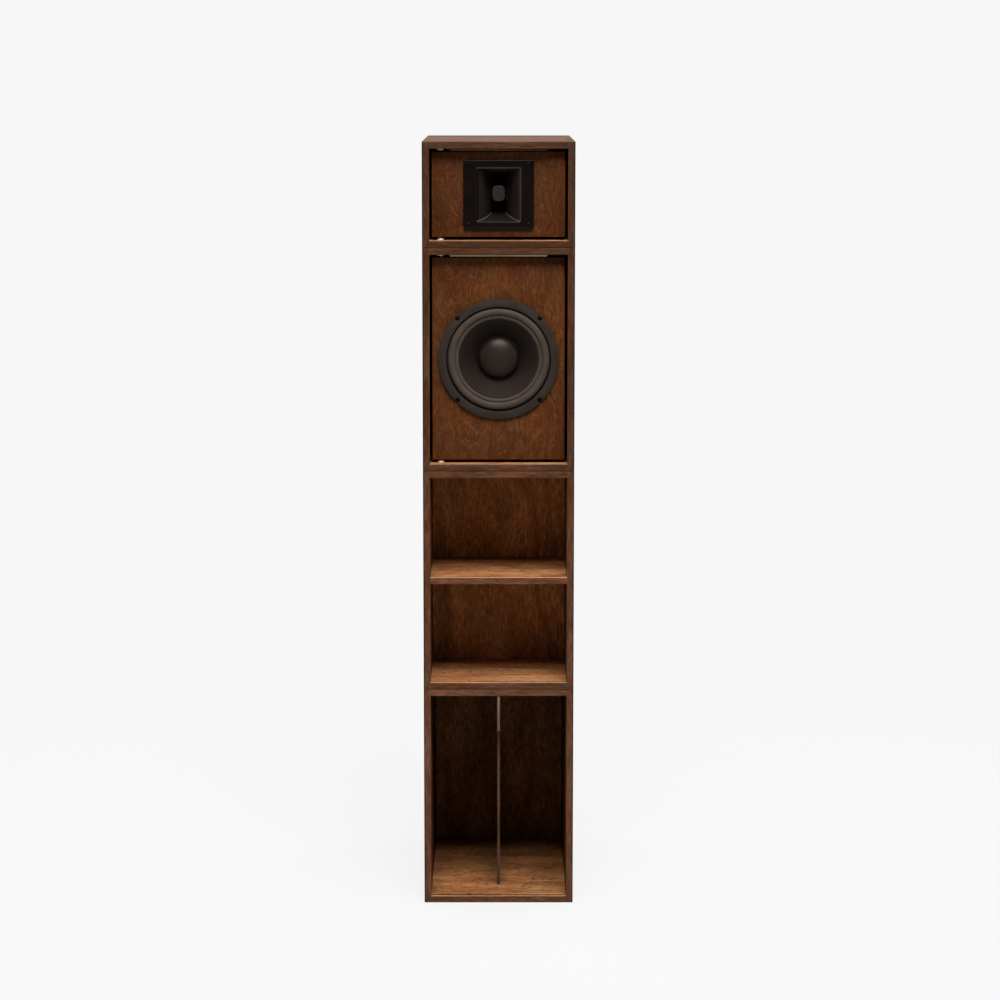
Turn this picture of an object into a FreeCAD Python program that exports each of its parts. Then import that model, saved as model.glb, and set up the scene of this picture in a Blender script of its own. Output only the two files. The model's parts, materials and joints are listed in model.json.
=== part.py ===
import FreeCAD, Part
import math
import os

os.makedirs("parts", exist_ok=True)

Vector = FreeCAD.Vector
UP = Vector(0, 0, 1)
BACKWARD = Vector(0, 1, 0)

# Tower. +X is the viewer's right, -Y the front, +Z up, and the origin is the middle of the base.
width = 260.0
depth = 415.0
board = 12.0
tall_box_height = 383.0
horn_box_height = 179.0
lipping_depth = 6.0
lipping_chamfer = 1.2

# Flat sides of the small, soft and hidden round pieces, which keep the model light
fastener_sides = 8
fitting_sides = 12
motor_sides = 24
cone_sides = 40

# How the boards join
tongue_thickness = 4.0
tongue_length = 5.0
tongue_setback = 14.0
back_thickness = 9.0
back_groove_depth = 3.5
rear_recess = 38.0
dowel_radius = 4.0
dowel_length = 16.0
dowel_inset_x = 40.0
dowel_inset_y = 60.0

# Record box
divider_thickness = 5.0
divider_setback = 1.5
divider_nose_height = 65.0
divider_cutback = 66.0
divider_corner = 4.0
divider_tenon = 3.0
floor_groove_width = 1.5
floor_groove_depth = 1.5

# Disc box
disc_bay_depth = 193.0

# Doors that carry the drivers
door_recess = 19.0
door_thickness = 15.0
door_side_gap = 4.5
door_end_gap = 5.5
pull_bevel_width = 4.5
pull_bevel_depth = 6.0
pivot_inset = 19.0
pin_radius = 2.5
pin_in_door = 16.0
pin_in_board = 8.0
pin_clearance = 0.02
bush_radius = 5.75
bush_flange_height = 3.2
bush_sleeve_radius = 4.0
bush_sleeve_depth = 9.5
bush_running_gap = 0.3

# Stop battens and catches
batten_length = 165.0
batten_height = 20.0
batten_depth = 15.0
batten_gap = 0.5
magnet_radius = 5.0
magnet_length = 10.0
magnet_inset_x = 14.0
strike_radius = 6.0
strike_thickness = 1.2

# Woofer. Radii are from its axis, and setbacks are measured back from the door's front face.
woofer_radius = 103.0
flange_height = 5.0
flange_inner_radius = 89.7
basket_ledge_height = 1.5
basket_ledge_radius = 84.0
basket_wall_radius = 91.0
basket_wall_setback = 15.0
basket_rear_radius = 57.0
basket_rear_setback = 68.0
basket_rear_plate = 3.0
basket_bore_radius = 24.0
basket_fit = 1.0
landing_setback = 50.0
landing_width = 7.0
spoke_width = 14.0
spoke_depth = 13.0
spoke_sink = 1.0
spoke_count = 6
surround_outer_radius = 87.7
surround_inner_radius = 69.4
surround_foot = 1.7
surround_thickness = 1.1
surround_crown = 8.0
surround_chords = 4
glue_gap = 0.3
cone_rim_radius = 71.8
cone_rim_width = 3.4
cone_thickness = 1.2
cone_middle_radius = 52.0
cone_middle_setback = 7.0
cone_cap_setback = 18.2
cone_neck_setback = 35.0
cap_radius = 36.7
cap_height = 17.0
cap_thickness = 1.0
cap_chords = 3
former_radius = 19.3
former_wall = 0.4
former_front_setback = 33.0
former_length = 45.0
winding_thickness = 0.9
winding_length = 14.0
spider_thickness = 0.6
spider_rise = 3.0
spider_middle_radius = 38.0
coil_clearance = 0.7
top_plate_radius = 50.0
top_plate_thickness = 6.0
magnet_ring_radius = 55.0
magnet_ring_bore = 30.0
magnet_ring_length = 18.0
back_plate_radius = 50.0
back_plate_thickness = 6.0
woofer_screw_circle = 99.6
screw_notch_radius = 4.0
screw_seat = 1.5
screw_head_radius = 3.5
screw_head_height = 2.2
screw_shank_radius = 1.9
screw_length = 12.0
screw_count = 4

# Horn
horn_flange = 120.0
horn_flange_height = 4.0
horn_flange_corner = 5.0
horn_flange_chamfer = 0.8
mouth_width = 78.0
mouth_height = 94.0
slot_width = 22.0
slot_height = 62.0
horn_depth = 66.0
horn_wall = 2.5
flare_middle_setback = 26.0
flare_middle_width = 49.0
flare_middle_height = 80.0
horn_fit = 1.5
throat_radius = 13.0
throat_plate_radius = 32.0
throat_plate_thickness = 4.0
mesh_thickness = 0.8
horn_screw_spacing = 102.0
horn_seat = 2.0
horn_magnet_radius = 36.0
horn_magnet_length = 14.0
horn_front_plate = 5.0
horn_cap_radius = 31.0
horn_cap_length = 14.0
horn_cap_chamfer = 3.0

# Terminals at the rear and the crossover inside
cup_width = 76.0
cup_height = 56.0
cup_flange = 9.0
cup_flange_thickness = 2.5
cup_depth = 20.0
cup_wall = 2.0
cup_corner = 6.0
cup_fit = 0.5
woofer_cup_height = 90.0
socket_spacing = 19.0
socket_radius = 3.4
socket_bore_radius = 2.0
socket_front = 12.0
socket_tail = 14.0
socket_bore_depth = 18.0
collar_radius = 6.0
collar_length = 10.0
crossover_width = 120.0
crossover_depth = 96.0
crossover_thickness = 6.0
crossover_rear_gap = 30.0
coil_radius = 23.0
coil_bore_radius = 11.0
coil_height = 22.0
capacitor_radius = 10.0
capacitor_length = 42.0
part_inset = 8.0

# Levels and faces that follow from the sizes above
outer_x = width / 2
inner_x = outer_x - board
front_y = -depth / 2
rear_y = depth / 2
core_y = front_y + lipping_depth
record_base = 0.0
disc_base = record_base + tall_box_height
woofer_base = disc_base + tall_box_height
horn_base = woofer_base + tall_box_height
panel_y = rear_y - rear_recess - back_thickness
disc_panel_y = front_y + disc_bay_depth
shelf_z = disc_base + (tall_box_height - board) / 2
door_y = front_y + door_recess
door_back_y = door_y + door_thickness
pivot_x = pivot_inset - inner_x
pivot_y = door_y + door_thickness / 2
woofer_z = woofer_base + tall_box_height / 2
horn_z = horn_base + horn_box_height / 2


def block(x_low, x_high, y_low, y_high, z_low, z_high):
    """A block between two opposite corners."""
    return Part.makeBox(x_high - x_low, y_high - y_low, z_high - z_low, Vector(x_low, y_low, z_low))


def mirrored(shape):
    """The same shape on the other side of the tower's middle plane."""
    return shape.mirror(Vector(0, 0, 0), Vector(1, 0, 0))


def merged(first, *others):
    """One solid with no seams left where its blocks met."""
    return first.fuse(list(others)).removeSplitter()


def drilled(shape, radius, start, direction, length):
    """The shape with a round hole that starts at a point and runs along a direction."""
    return shape.cut(Part.makeCylinder(radius, length, start, direction))


def bar(radius, start, direction, length, sides=fitting_sides):
    """A round bar with flat sides, its corners on the circle."""
    across = Vector(direction.y, direction.z, direction.x) * radius
    turns = [FreeCAD.Rotation(direction, 360 * index / sides) for index in range(sides)]
    corners = [start + turn.multVec(across) for turn in turns]
    return Part.Face(Part.makePolygon(corners + corners[:1])).extrude(direction * length)


def bored(shape, radius, start, direction, length, sides=fitting_sides):
    """The shape with the hole that a bar of the same radius and sides fills."""
    return shape.cut(bar(radius, start, direction, length, sides))


def tube(inner_radius, outer_radius, start, direction, length, sides=fitting_sides):
    """A bar with a bore of as many sides along its whole length."""
    outside = bar(outer_radius, start, direction, length, sides)
    return bored(outside, inner_radius, start, direction, length, sides)


def edges_on(shape, test):
    """The edges whose two ends both pass a test on their position."""
    return [edge for edge in shape.Edges if all(test(vertex.Point) for vertex in edge.Vertexes)]


# Boards

def tongue(z_low, y_high):
    """The stopped tongue at the right-hand end of a level board, which fills its groove in the side."""
    middle_z = z_low + board / 2
    return block(inner_x, inner_x + tongue_length, core_y + tongue_setback, y_high - tongue_setback,
                 middle_z - tongue_thickness / 2, middle_z + tongue_thickness / 2)


def back_panel(base_z, height, panel_front_y):
    """A back that stands in grooves all round."""
    reach = inner_x + back_groove_depth
    return block(-reach, reach, panel_front_y, panel_front_y + back_thickness,
                 base_z + board - back_groove_depth, base_z + height - board + back_groove_depth)


def side_board(base_z, height, panel, tongues):
    """The right-hand side of a box behind its lipping, with its grooves."""
    side = block(inner_x, outer_x, core_y, rear_y, base_z, base_z + height)
    return side.cut([panel] + tongues)


def level_board(z_low, panel, y_high=rear_y):
    """A top, bottom or shelf behind its lipping, with a tongue at each end."""
    right_tongue = tongue(z_low, y_high)
    slab = merged(block(-inner_x, inner_x, core_y, y_high, z_low, z_low + board), right_tongue,
                  mirrored(right_tongue))
    return slab.cut(panel)


def lipping(x_low, x_high, z_low, z_high):
    """One solid wood strip on a front edge, with its front corners eased."""
    strip = block(x_low, x_high, front_y, core_y, z_low, z_high)
    front_edges = edges_on(strip, lambda point: point.y < front_y + lipping_chamfer)
    return strip.makeChamfer(lipping_chamfer, front_edges)


def box_lipping(base_z, height, level_heights):
    """The strips on all front edges of one box."""
    right = lipping(inner_x, outer_x, base_z, base_z + height)
    levels = [lipping(-inner_x, inner_x, z_low, z_low + board) for z_low in level_heights]
    return Part.makeCompound([right, mirrored(right)] + levels)


def box_boards(name, base_z, height, panel_front_y, shelf_heights=()):
    """The sides, top, bottom, shelves, back and lipping of one box, by node name."""
    panel = back_panel(base_z, height, panel_front_y)
    top_z = base_z + height - board
    tongues = [tongue(z_low, rear_y) for z_low in (base_z, top_z)]
    tongues += [tongue(z_low, panel_front_y) for z_low in shelf_heights]
    side = side_board(base_z, height, panel, tongues)
    nodes = {name + "_right_side": side, name + "_left_side": mirrored(side), name + "_back": panel}
    nodes[name + "_bottom"] = level_board(base_z, panel)
    nodes[name + "_top"] = level_board(top_z, panel)
    nodes[name + "_lipping"] = box_lipping(base_z, height, [base_z, top_z] + list(shelf_heights))
    return nodes


def divider():
    """The thin upright between the record bays: its nose is nearly flush and its lower front is cut back."""
    floor_z = record_base + board
    ceiling_z = record_base + tall_box_height - board
    nose_y = front_y + divider_setback
    nose_z = ceiling_z - divider_nose_height
    cut_y = front_y + divider_cutback
    outline = [(nose_y, ceiling_z), (nose_y, nose_z), (cut_y, nose_z), (cut_y, floor_z), (panel_y, floor_z),
               (panel_y, ceiling_z)]
    points = [Vector(-divider_thickness / 2, y, z) for y, z in outline]
    plate = Part.Face(Part.makePolygon(points + points[:1])).extrude(Vector(divider_thickness, 0, 0))
    corners = edges_on(plate, lambda point: abs(point.z - nose_z) < divider_corner / 2)
    short_edges = [edge for edge in corners if edge.Length < 2 * divider_thickness]
    plate = plate.makeFillet(divider_corner, short_edges)
    return merged(plate, *divider_tenons())


def divider_tenons():
    """The divider's tenons in the record box's floor and ceiling."""
    floor_z = record_base + board
    ceiling_z = record_base + tall_box_height - board
    half = divider_thickness / 2
    low = block(-half, half, front_y + divider_cutback + tongue_setback, panel_y - tongue_setback,
                floor_z - divider_tenon, floor_z)
    high = block(-half, half, core_y + tongue_setback, panel_y - tongue_setback,
                 ceiling_z, ceiling_z + divider_tenon)
    return [low, high]


def floor_groove():
    """The narrow groove in the record box's floor, just behind its lipping."""
    floor_z = record_base + board
    return block(-inner_x, inner_x, core_y, core_y + floor_groove_width,
                 floor_z - floor_groove_depth, floor_z)


def dowel_places(joint_z):
    """Where the two loose dowels between two boxes stand, at opposite corners."""
    x = inner_x - dowel_inset_x
    y = rear_y - dowel_inset_y
    return [Vector(sign * x, sign * y, joint_z - dowel_length / 2) for sign in (-1, 1)]


def drilled_for_dowels(shape, joint_z):
    """A top or bottom with the holes of the dowels at one joint."""
    for place in dowel_places(joint_z):
        shape = bored(shape, dowel_radius, place, UP, dowel_length, fastener_sides)
    return shape


def stacking_dowels():
    """The dowels that keep the boxes in line."""
    joints = (disc_base, woofer_base, horn_base)
    return Part.makeCompound([bar(dowel_radius, place, UP, dowel_length, fastener_sides)
                              for joint_z in joints for place in dowel_places(joint_z)])


# Pivots, doors and catches

def pivot_ends(base_z, height):
    """The two inner faces that a door turns between, each with the direction towards the door."""
    return [(base_z + board, UP), (base_z + height - board, -UP)]


def pivot_bush(face_z, towards_door):
    """A flanged bush: its flange stands in the gap at the door's end and its sleeve in the board."""
    face = Vector(pivot_x, pivot_y, face_z)
    flange = bar(bush_radius, face, towards_door, bush_flange_height)
    sleeve = bar(bush_sleeve_radius, face, -towards_door, bush_sleeve_depth)
    bore_radius = (pin_radius + pin_clearance) / math.cos(math.pi / fitting_sides)
    bore_end = face - towards_door * (pin_in_board + bush_running_gap)
    bore_length = pin_in_board + bush_running_gap + bush_flange_height
    return bored(merged(flange, sleeve), bore_radius, bore_end, towards_door, bore_length)


def pivot_pin(face_z, towards_door):
    """A pin fixed in the door's edge, which turns in a bush whose flats its corners clear."""
    start = Vector(pivot_x, pivot_y, face_z) - towards_door * pin_in_board
    return bar(pin_radius, start, towards_door, pin_in_board + door_end_gap + pin_in_door)


def drilled_for_bush(shape, face_z, towards_door):
    """A board with the blind hole that a bush's sleeve fills."""
    start = Vector(pivot_x, pivot_y, face_z)
    return bored(shape, bush_sleeve_radius, start, -towards_door, bush_sleeve_depth)


def batten(base_z, height):
    """The strip under a ceiling that its door closes against, with the hole of the catch magnet."""
    ceiling_z = base_z + height - board
    strip = block(-batten_length / 2, batten_length / 2, door_back_y + batten_gap,
                  door_back_y + batten_gap + batten_depth, ceiling_z - batten_height, ceiling_z)
    return strip.cut(catch_magnet(base_z, height))


def catch_centre(base_z, height, behind_door):
    """A point on the catch's axis, midway up the part of the batten that the door covers."""
    ceiling_z = base_z + height - board
    z = ceiling_z - (batten_height + door_end_gap) / 2
    return Vector(batten_length / 2 - magnet_inset_x, door_back_y + behind_door, z)


def catch_magnet(base_z, height):
    """The round magnet in a batten."""
    return bar(magnet_radius, catch_centre(base_z, height, batten_gap), BACKWARD, magnet_length)


def strike_disc(base_z, height):
    """The steel disc let into a door's back, opposite the magnet."""
    return bar(strike_radius, catch_centre(base_z, height, -strike_thickness), BACKWARD, strike_thickness)


def door_panel(base_z, height):
    """A door with its finger bevel, pin holes and strike recess, before the driver's opening is cut."""
    low_z = base_z + board + door_end_gap
    high_z = base_z + height - board - door_end_gap
    right_x = inner_x - door_side_gap
    outline = [(-right_x, door_y), (right_x - pull_bevel_width, door_y), (right_x, door_y + pull_bevel_depth),
               (right_x, door_back_y), (-right_x, door_back_y)]
    points = [Vector(x, y, low_z) for x, y in outline]
    panel = Part.Face(Part.makePolygon(points + points[:1])).extrude(Vector(0, 0, high_z - low_z))
    pins = [pivot_pin(*end) for end in pivot_ends(base_z, height)]
    return panel.cut(pins + [strike_disc(base_z, height)])


# Turned parts

def on_axis(axis_z, setback):
    """The point on a driver's axis at a setback."""
    return Vector(0, door_y + setback, axis_z)


def turned(steps, axis_z):
    """A solid turned about a driver's axis from an outline of (radius, setback) points."""
    points = [Vector(radius, door_y + setback, axis_z) for radius, setback in steps]
    return Part.Face(Part.makePolygon(points + points[:1])).revolve(Vector(0, 0, axis_z), BACKWARD, 360)


def faceted(steps, axis_z, sides):
    """The same with flat sides, for the curved walls of the paper, rubber and cloth pieces."""
    turns = [FreeCAD.Rotation(BACKWARD, 360 * index / sides) for index in range(sides)]
    rings = [[on_axis(axis_z, setback) + turn.multVec(Vector(radius, 0, 0)) for turn in turns]
             for radius, setback in steps]
    faces = []
    for near, far in zip(rings, rings[1:] + rings[:1]):
        for index in range(sides):
            corners = [near[index - 1], near[index], far[index], far[index - 1]]
            faces += flat_face(corners)
    return Part.Solid(Part.Shell(faces))


def flat_face(corners):
    """A face through the corners that differ, in a list that stays empty where they lie on one line."""
    distinct = [corner for index, corner in enumerate(corners)
                if not corner.isEqual(corners[index - 1], glue_gap / 2)]
    return [Part.Face(Part.makePolygon(distinct + distinct[:1]))] if len(distinct) > 2 else []


def around(shape, axis_z, count, first_angle):
    """Copies of a shape, evenly spaced round a driver's axis."""
    copies = []
    for index in range(count):
        copy = shape.copy()
        copy.rotate(Vector(0, 0, axis_z), BACKWARD, first_angle + 360 * index / count)
        copies.append(copy)
    return copies


def screw(seat):
    """A driver's round-headed screw, its head's underside at the seat."""
    head = bar(screw_head_radius, seat, -BACKWARD, screw_head_height, fastener_sides)
    shank = bar(screw_shank_radius, seat, BACKWARD, screw_length, fastener_sides)
    return merged(head, shank)


# Woofer

def woofer_basket():
    """The frame: rim with screw notches and a ledge, spokes, and the rear cup that the spider lands on."""
    rim = turned([(woofer_radius, 0), (woofer_radius, -flange_height), (flange_inner_radius, -flange_height),
                  (flange_inner_radius, -basket_ledge_height), (basket_ledge_radius, -basket_ledge_height),
                  (basket_ledge_radius, 0)], woofer_z)
    plate_front = basket_rear_setback - basket_rear_plate
    cup_inside = basket_rear_radius - landing_width
    cup = turned([(basket_rear_radius, landing_setback), (basket_rear_radius, basket_rear_setback),
                  (basket_bore_radius, basket_rear_setback), (basket_bore_radius, plate_front),
                  (cup_inside, plate_front), (cup_inside, landing_setback)], woofer_z)
    half_turn = 180 / spoke_count
    basket = merged(rim, cup, *around(basket_spoke(), woofer_z, spoke_count, half_turn))
    return basket.cut(around(screw_notch(), woofer_z, screw_count, 180 / screw_count))


def basket_spoke():
    """A straight spoke from the rim's back down to the rear cup."""
    cup_radius = basket_rear_radius - landing_width / 2
    cup_top = landing_setback + spoke_sink
    outline = [(basket_ledge_radius + spoke_sink, -spoke_sink), (basket_wall_radius, -spoke_sink),
               (basket_wall_radius, basket_wall_setback), (cup_radius, landing_setback + spoke_depth),
               (cup_radius, cup_top), (basket_rear_radius + spoke_sink, cup_top)]
    points = [Vector(radius, door_y + setback, woofer_z - spoke_width / 2) for radius, setback in outline]
    return Part.Face(Part.makePolygon(points + points[:1])).extrude(UP * spoke_width)


def screw_notch():
    """What is cut from the rim at a screw: a U notch down to its seat, and the hole of its shank."""
    centre = Vector(woofer_screw_circle, door_y - flange_height, woofer_z)
    depth = flange_height - screw_seat
    open_end = block(woofer_screw_circle, woofer_radius + screw_notch_radius, centre.y, centre.y + depth,
                     woofer_z - screw_notch_radius, woofer_z + screw_notch_radius)
    notch = merged(bar(screw_notch_radius, centre, BACKWARD, depth), open_end)
    return merged(notch, bar(screw_shank_radius, centre, BACKWARD, flange_height, fastener_sides))


def woofer_screws():
    """The four screws in the notches."""
    one = screw(Vector(woofer_screw_circle, door_y - screw_seat, woofer_z))
    return Part.makeCompound(around(one, woofer_z, screw_count, 180 / screw_count))


def half_roll(outer_radius, inner_radius, crown):
    """Points along a half roll, from its outer foot on the ledge over its crown to its inner foot."""
    middle = (outer_radius + inner_radius) / 2
    reach = (outer_radius - inner_radius) / 2
    rise = crown - basket_ledge_height
    angles = [math.pi * index / surround_chords for index in range(surround_chords + 1)]
    return [(middle + reach * math.cos(angle), -basket_ledge_height - rise * math.sin(angle))
            for angle in angles]


def woofer_surround():
    """The rubber half roll, from its outer foot on the basket's ledge to its inner foot on the cone."""
    front = half_roll(surround_outer_radius, surround_inner_radius, surround_crown)
    back = half_roll(surround_outer_radius - surround_foot, surround_inner_radius + surround_foot,
                     surround_crown - surround_thickness)
    return faceted(front + back[::-1], woofer_z, cone_sides)


def woofer_cone():
    """The paper cone: a flat rim and a wall that steepens down to the neck."""
    rim_setback = glue_gap - basket_ledge_height
    wall = [(cone_middle_radius, cone_middle_setback), (cap_radius, cone_cap_setback),
            (former_radius, cone_neck_setback)]
    front = [(cone_rim_radius, rim_setback), (cone_rim_radius - cone_rim_width, rim_setback)] + wall
    back = [(radius, setback + cone_thickness) for radius, setback in front[:1] + wall]
    return faceted(front + back[::-1], woofer_z, cone_sides)


def dome(radius, height):
    """Points on the dust cap, from its edge on the cone to its crown."""
    sphere = (radius ** 2 + height ** 2) / (2 * height)
    centre = cone_cap_setback - height + sphere
    angles = [math.asin(radius / sphere) * (1 - index / cap_chords) for index in range(cap_chords + 1)]
    return [(sphere * math.sin(angle), centre - sphere * math.cos(angle)) for angle in angles]


def dust_cap():
    """The domed cap over the voice coil, seated on the cone."""
    inside = dome(cap_radius - cap_thickness, cap_height - cap_thickness)
    return faceted(dome(cap_radius, cap_height) + inside[::-1], woofer_z, cone_sides)


def voice_coil():
    """The former glued in the cone's neck, with its copper winding in the magnet's gap."""
    former = tube(former_radius - former_wall, former_radius, on_axis(woofer_z, former_front_setback),
                  BACKWARD, former_length, motor_sides)
    winding_front = basket_rear_setback + (top_plate_thickness - winding_length) / 2
    winding = tube(former_radius, former_radius + winding_thickness, on_axis(woofer_z, winding_front),
                   BACKWARD, winding_length, motor_sides)
    return Part.makeCompound([former, winding])


def woofer_spider():
    """The cloth suspension between the former and its landing on the basket."""
    back = [(basket_rear_radius, landing_setback), (spider_middle_radius, landing_setback - spider_rise),
            (former_radius + glue_gap, landing_setback)]
    front = [(radius, setback - spider_thickness) for radius, setback in back]
    return faceted(front + back[::-1], woofer_z, motor_sides)


def top_plate():
    """The steel ring behind the basket, whose bore is the outer wall of the gap."""
    bore = former_radius + winding_thickness + coil_clearance
    return tube(bore, top_plate_radius, on_axis(woofer_z, basket_rear_setback), BACKWARD, top_plate_thickness,
                motor_sides)


def magnet_ring():
    """The ferrite ring."""
    start = on_axis(woofer_z, basket_rear_setback + top_plate_thickness)
    return tube(magnet_ring_bore, magnet_ring_radius, start, BACKWARD, magnet_ring_length, motor_sides)


def pole_piece():
    """The back plate with the pole that the coil moves over."""
    front = basket_rear_setback + top_plate_thickness + magnet_ring_length
    plate = bar(back_plate_radius, on_axis(woofer_z, front), BACKWARD, back_plate_thickness, motor_sides)
    pole = bar(former_radius - former_wall - coil_clearance, on_axis(woofer_z, basket_rear_setback), BACKWARD,
               front - basket_rear_setback, motor_sides)
    return merged(plate, pole)


def woofer_door():
    """The woofer's door with the round opening and the screw holes."""
    panel = drilled(door_panel(woofer_base, tall_box_height), basket_wall_radius + basket_fit,
                    on_axis(woofer_z, 0), BACKWARD, door_thickness)
    return panel.cut(woofer_screws())


# Horn

def horn_outline(reach_x, reach_z, half_width, half_height):
    """A flare's solid: the space that a plan outline and a side outline share.

    Each reach is a list of half sizes at the front, the middle setback and the back.
    """
    front, middle, back = door_y - horn_flange_height, door_y + flare_middle_setback, door_y + horn_depth
    plan = flank_solid(reach_x, (front, middle, back), lambda a, y: Vector(a, y, horn_z - half_height),
                       Vector(0, 0, 2 * half_height))
    side = flank_solid(reach_z, (front, middle, back), lambda a, y: Vector(-half_width, y, horn_z + a),
                       Vector(2 * half_width, 0, 0))
    return plan.common(side)


def flank_solid(reach, setbacks, place, sweep):
    """A symmetric outline with curved flanks, swept straight across the horn."""
    right = [place(a, y) for a, y in zip(reach, setbacks)]
    left = [place(-a, y) for a, y in zip(reach, setbacks)]
    edges = [Part.Arc(*right).toShape(), Part.LineSegment(right[2], left[2]).toShape(),
             Part.Arc(*reversed(left)).toShape(), Part.LineSegment(left[0], right[0]).toShape()]
    return Part.Face(Part.Wire(edges)).extrude(sweep)


def flare_solid(wall):
    """The flare's inside when the wall is zero, or its outside."""
    reach_x = [mouth_width / 2 + wall, flare_middle_width / 2 + wall, slot_width / 2 + wall]
    reach_z = [mouth_height / 2 + wall, flare_middle_height / 2 + wall, slot_height / 2 + wall]
    return horn_outline(reach_x, reach_z, horn_flange / 2, horn_flange / 2)


def horn_flare():
    """The moulded horn: square flange, flaring walls down to a tall slot, and the round throat behind it."""
    half = horn_flange / 2
    plate = block(-half, half, door_y - horn_flange_height, door_y, horn_z - half, horn_z + half)
    plate = plate.makeFillet(horn_flange_corner, [edge for edge in plate.Edges if runs_back(edge)])
    rim = edges_on(plate, lambda point: point.y < door_y - horn_flange_height / 2)
    plate = plate.makeChamfer(horn_flange_chamfer, rim)
    throat_y = door_y + horn_depth
    reach_x = slot_width / 2 + horn_wall
    reach_z = slot_height / 2 + horn_wall
    slot_floor = block(-reach_x, reach_x, throat_y - horn_wall, throat_y, horn_z - reach_z, horn_z + reach_z)
    throat_plate = Part.makeCylinder(throat_plate_radius, throat_plate_thickness, on_axis(horn_z, horn_depth),
                                     BACKWARD)
    shell = merged(plate, flare_solid(horn_wall), throat_plate)
    inside = flare_solid(0).cut(slot_floor)
    throat_length = horn_wall + throat_plate_thickness
    throat_start = on_axis(horn_z, horn_depth - horn_wall)
    horn = drilled(shell.cut(inside), throat_radius, throat_start, BACKWARD, throat_length)
    return horn.cut(horn_screw_seats())


def runs_back(edge):
    """Whether an edge runs straight from front to back."""
    first, last = edge.Vertexes[0].Point, edge.Vertexes[-1].Point
    return abs(first.y - last.y) > edge.Length / 2


def horn_screw_places(y):
    """The corners where the horn's screws stand."""
    half = horn_screw_spacing / 2
    return [Vector(sign_x * half, y, horn_z + sign_z * half) for sign_x in (-1, 1) for sign_z in (-1, 1)]


def horn_screw_seats():
    """What the screws' shanks and heads need cut out of the flange."""
    places = horn_screw_places(door_y - horn_flange_height)
    seats = [bar(screw_shank_radius, place, BACKWARD, horn_flange_height, fastener_sides) for place in places]
    seats += [bar(screw_head_radius, place, BACKWARD, horn_flange_height - horn_seat, fastener_sides)
              for place in places]
    return seats


def horn_screws():
    """The four screws in the flange's corners."""
    return Part.makeCompound([screw(seat) for seat in horn_screw_places(door_y - horn_seat)])


def throat_mesh():
    """The round mesh that closes the throat, at the floor of the slot."""
    return bar(throat_radius, on_axis(horn_z, horn_depth - horn_wall), BACKWARD, mesh_thickness, motor_sides)


def horn_magnet():
    """The magnet of the compression driver."""
    front = horn_depth + throat_plate_thickness + horn_front_plate
    return bar(horn_magnet_radius, on_axis(horn_z, front), BACKWARD, horn_magnet_length, motor_sides)


def horn_driver_housing():
    """The compression driver's front plate and its rear cap, one on each side of the magnet."""
    front = horn_depth + throat_plate_thickness
    rear = front + horn_front_plate + horn_magnet_length
    plate = bar(horn_magnet_radius, on_axis(horn_z, front), BACKWARD, horn_front_plate, motor_sides)
    cap = bar(horn_cap_radius, on_axis(horn_z, rear), BACKWARD, horn_cap_length, motor_sides)
    rear_edges = edges_on(cap, lambda point: point.y > door_y + rear + horn_cap_length / 2)
    return Part.makeCompound([plate, cap.makeChamfer(horn_cap_chamfer, rear_edges)])


def horn_door():
    """The horn's door with its opening and screw holes."""
    half_width = mouth_width / 2 + horn_wall + horn_fit
    half_height = mouth_height / 2 + horn_wall + horn_fit
    opening = block(-half_width, half_width, door_y, door_back_y, horn_z - half_height, horn_z + half_height)
    return door_panel(horn_base, horn_box_height).cut(opening).cut(horn_screws())


# Terminals and crossover

def terminal_places():
    """The middle of each terminal cup, on the rear face of its back panel."""
    y = panel_y + back_thickness
    return [Vector(0, y, woofer_base + woofer_cup_height), Vector(0, y, horn_z)]


def cup_block(place, margin, y_low, y_high):
    """A block with cut corners round a cup's middle."""
    half_x = cup_width / 2 - margin
    half_z = cup_height / 2 - margin
    body = block(-half_x, half_x, place.y + y_low, place.y + y_high, place.z - half_z, place.z + half_z)
    return body.makeChamfer(cup_corner, [edge for edge in body.Edges if runs_back(edge)])


def terminal_cup(place):
    """A moulded cup let into the back, with holes for its two sockets."""
    flange = cup_block(place, 0, 0, cup_flange_thickness)
    body = cup_block(place, cup_flange, -cup_depth, cup_flange_thickness)
    hollow = cup_block(place, cup_flange + cup_wall, cup_wall - cup_depth, cup_flange_thickness)
    cup = merged(flange, body).cut(hollow)
    for sign in (-1, 1):
        start = place + Vector(sign * socket_spacing / 2, -cup_depth, 0)
        cup = bored(cup, socket_radius, start, BACKWARD, cup_wall)
    return cup


def socket(place, sign):
    """A brass socket tube through a cup's floor, with a blind bore for a plug."""
    rear = place + Vector(sign * socket_spacing / 2, cup_wall - cup_depth + socket_front, 0)
    body = bar(socket_radius, rear, -BACKWARD, socket_front + cup_wall + socket_tail)
    return drilled(body, socket_bore_radius, rear, -BACKWARD, socket_bore_depth)


def collar(place, sign):
    """The coloured collar round a socket."""
    floor = place + Vector(sign * socket_spacing / 2, cup_wall - cup_depth, 0)
    return tube(socket_radius, collar_radius, floor, BACKWARD, collar_length)


def cup_opening(place):
    """The opening that a cup needs in its back panel."""
    return cup_block(place, cup_flange - cup_fit, -back_thickness, 0)


def crossover_floor():
    """The lower corner, on the woofer box's floor, of the crossover's board."""
    y_high = panel_y - crossover_rear_gap
    return Vector(-crossover_width / 2, y_high - crossover_depth, woofer_base + board)


def crossover_board():
    """The wooden board that carries the crossover's parts."""
    corner = crossover_floor()
    return block(corner.x, corner.x + crossover_width, corner.y, corner.y + crossover_depth, corner.z,
                 corner.z + crossover_thickness)


def crossover_coil():
    """The air-cored coil, lying on the board."""
    corner = crossover_floor()
    reach = part_inset + coil_radius
    base = corner + Vector(reach, reach, crossover_thickness)
    return tube(coil_bore_radius, coil_radius, base, UP, coil_height, motor_sides)


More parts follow.
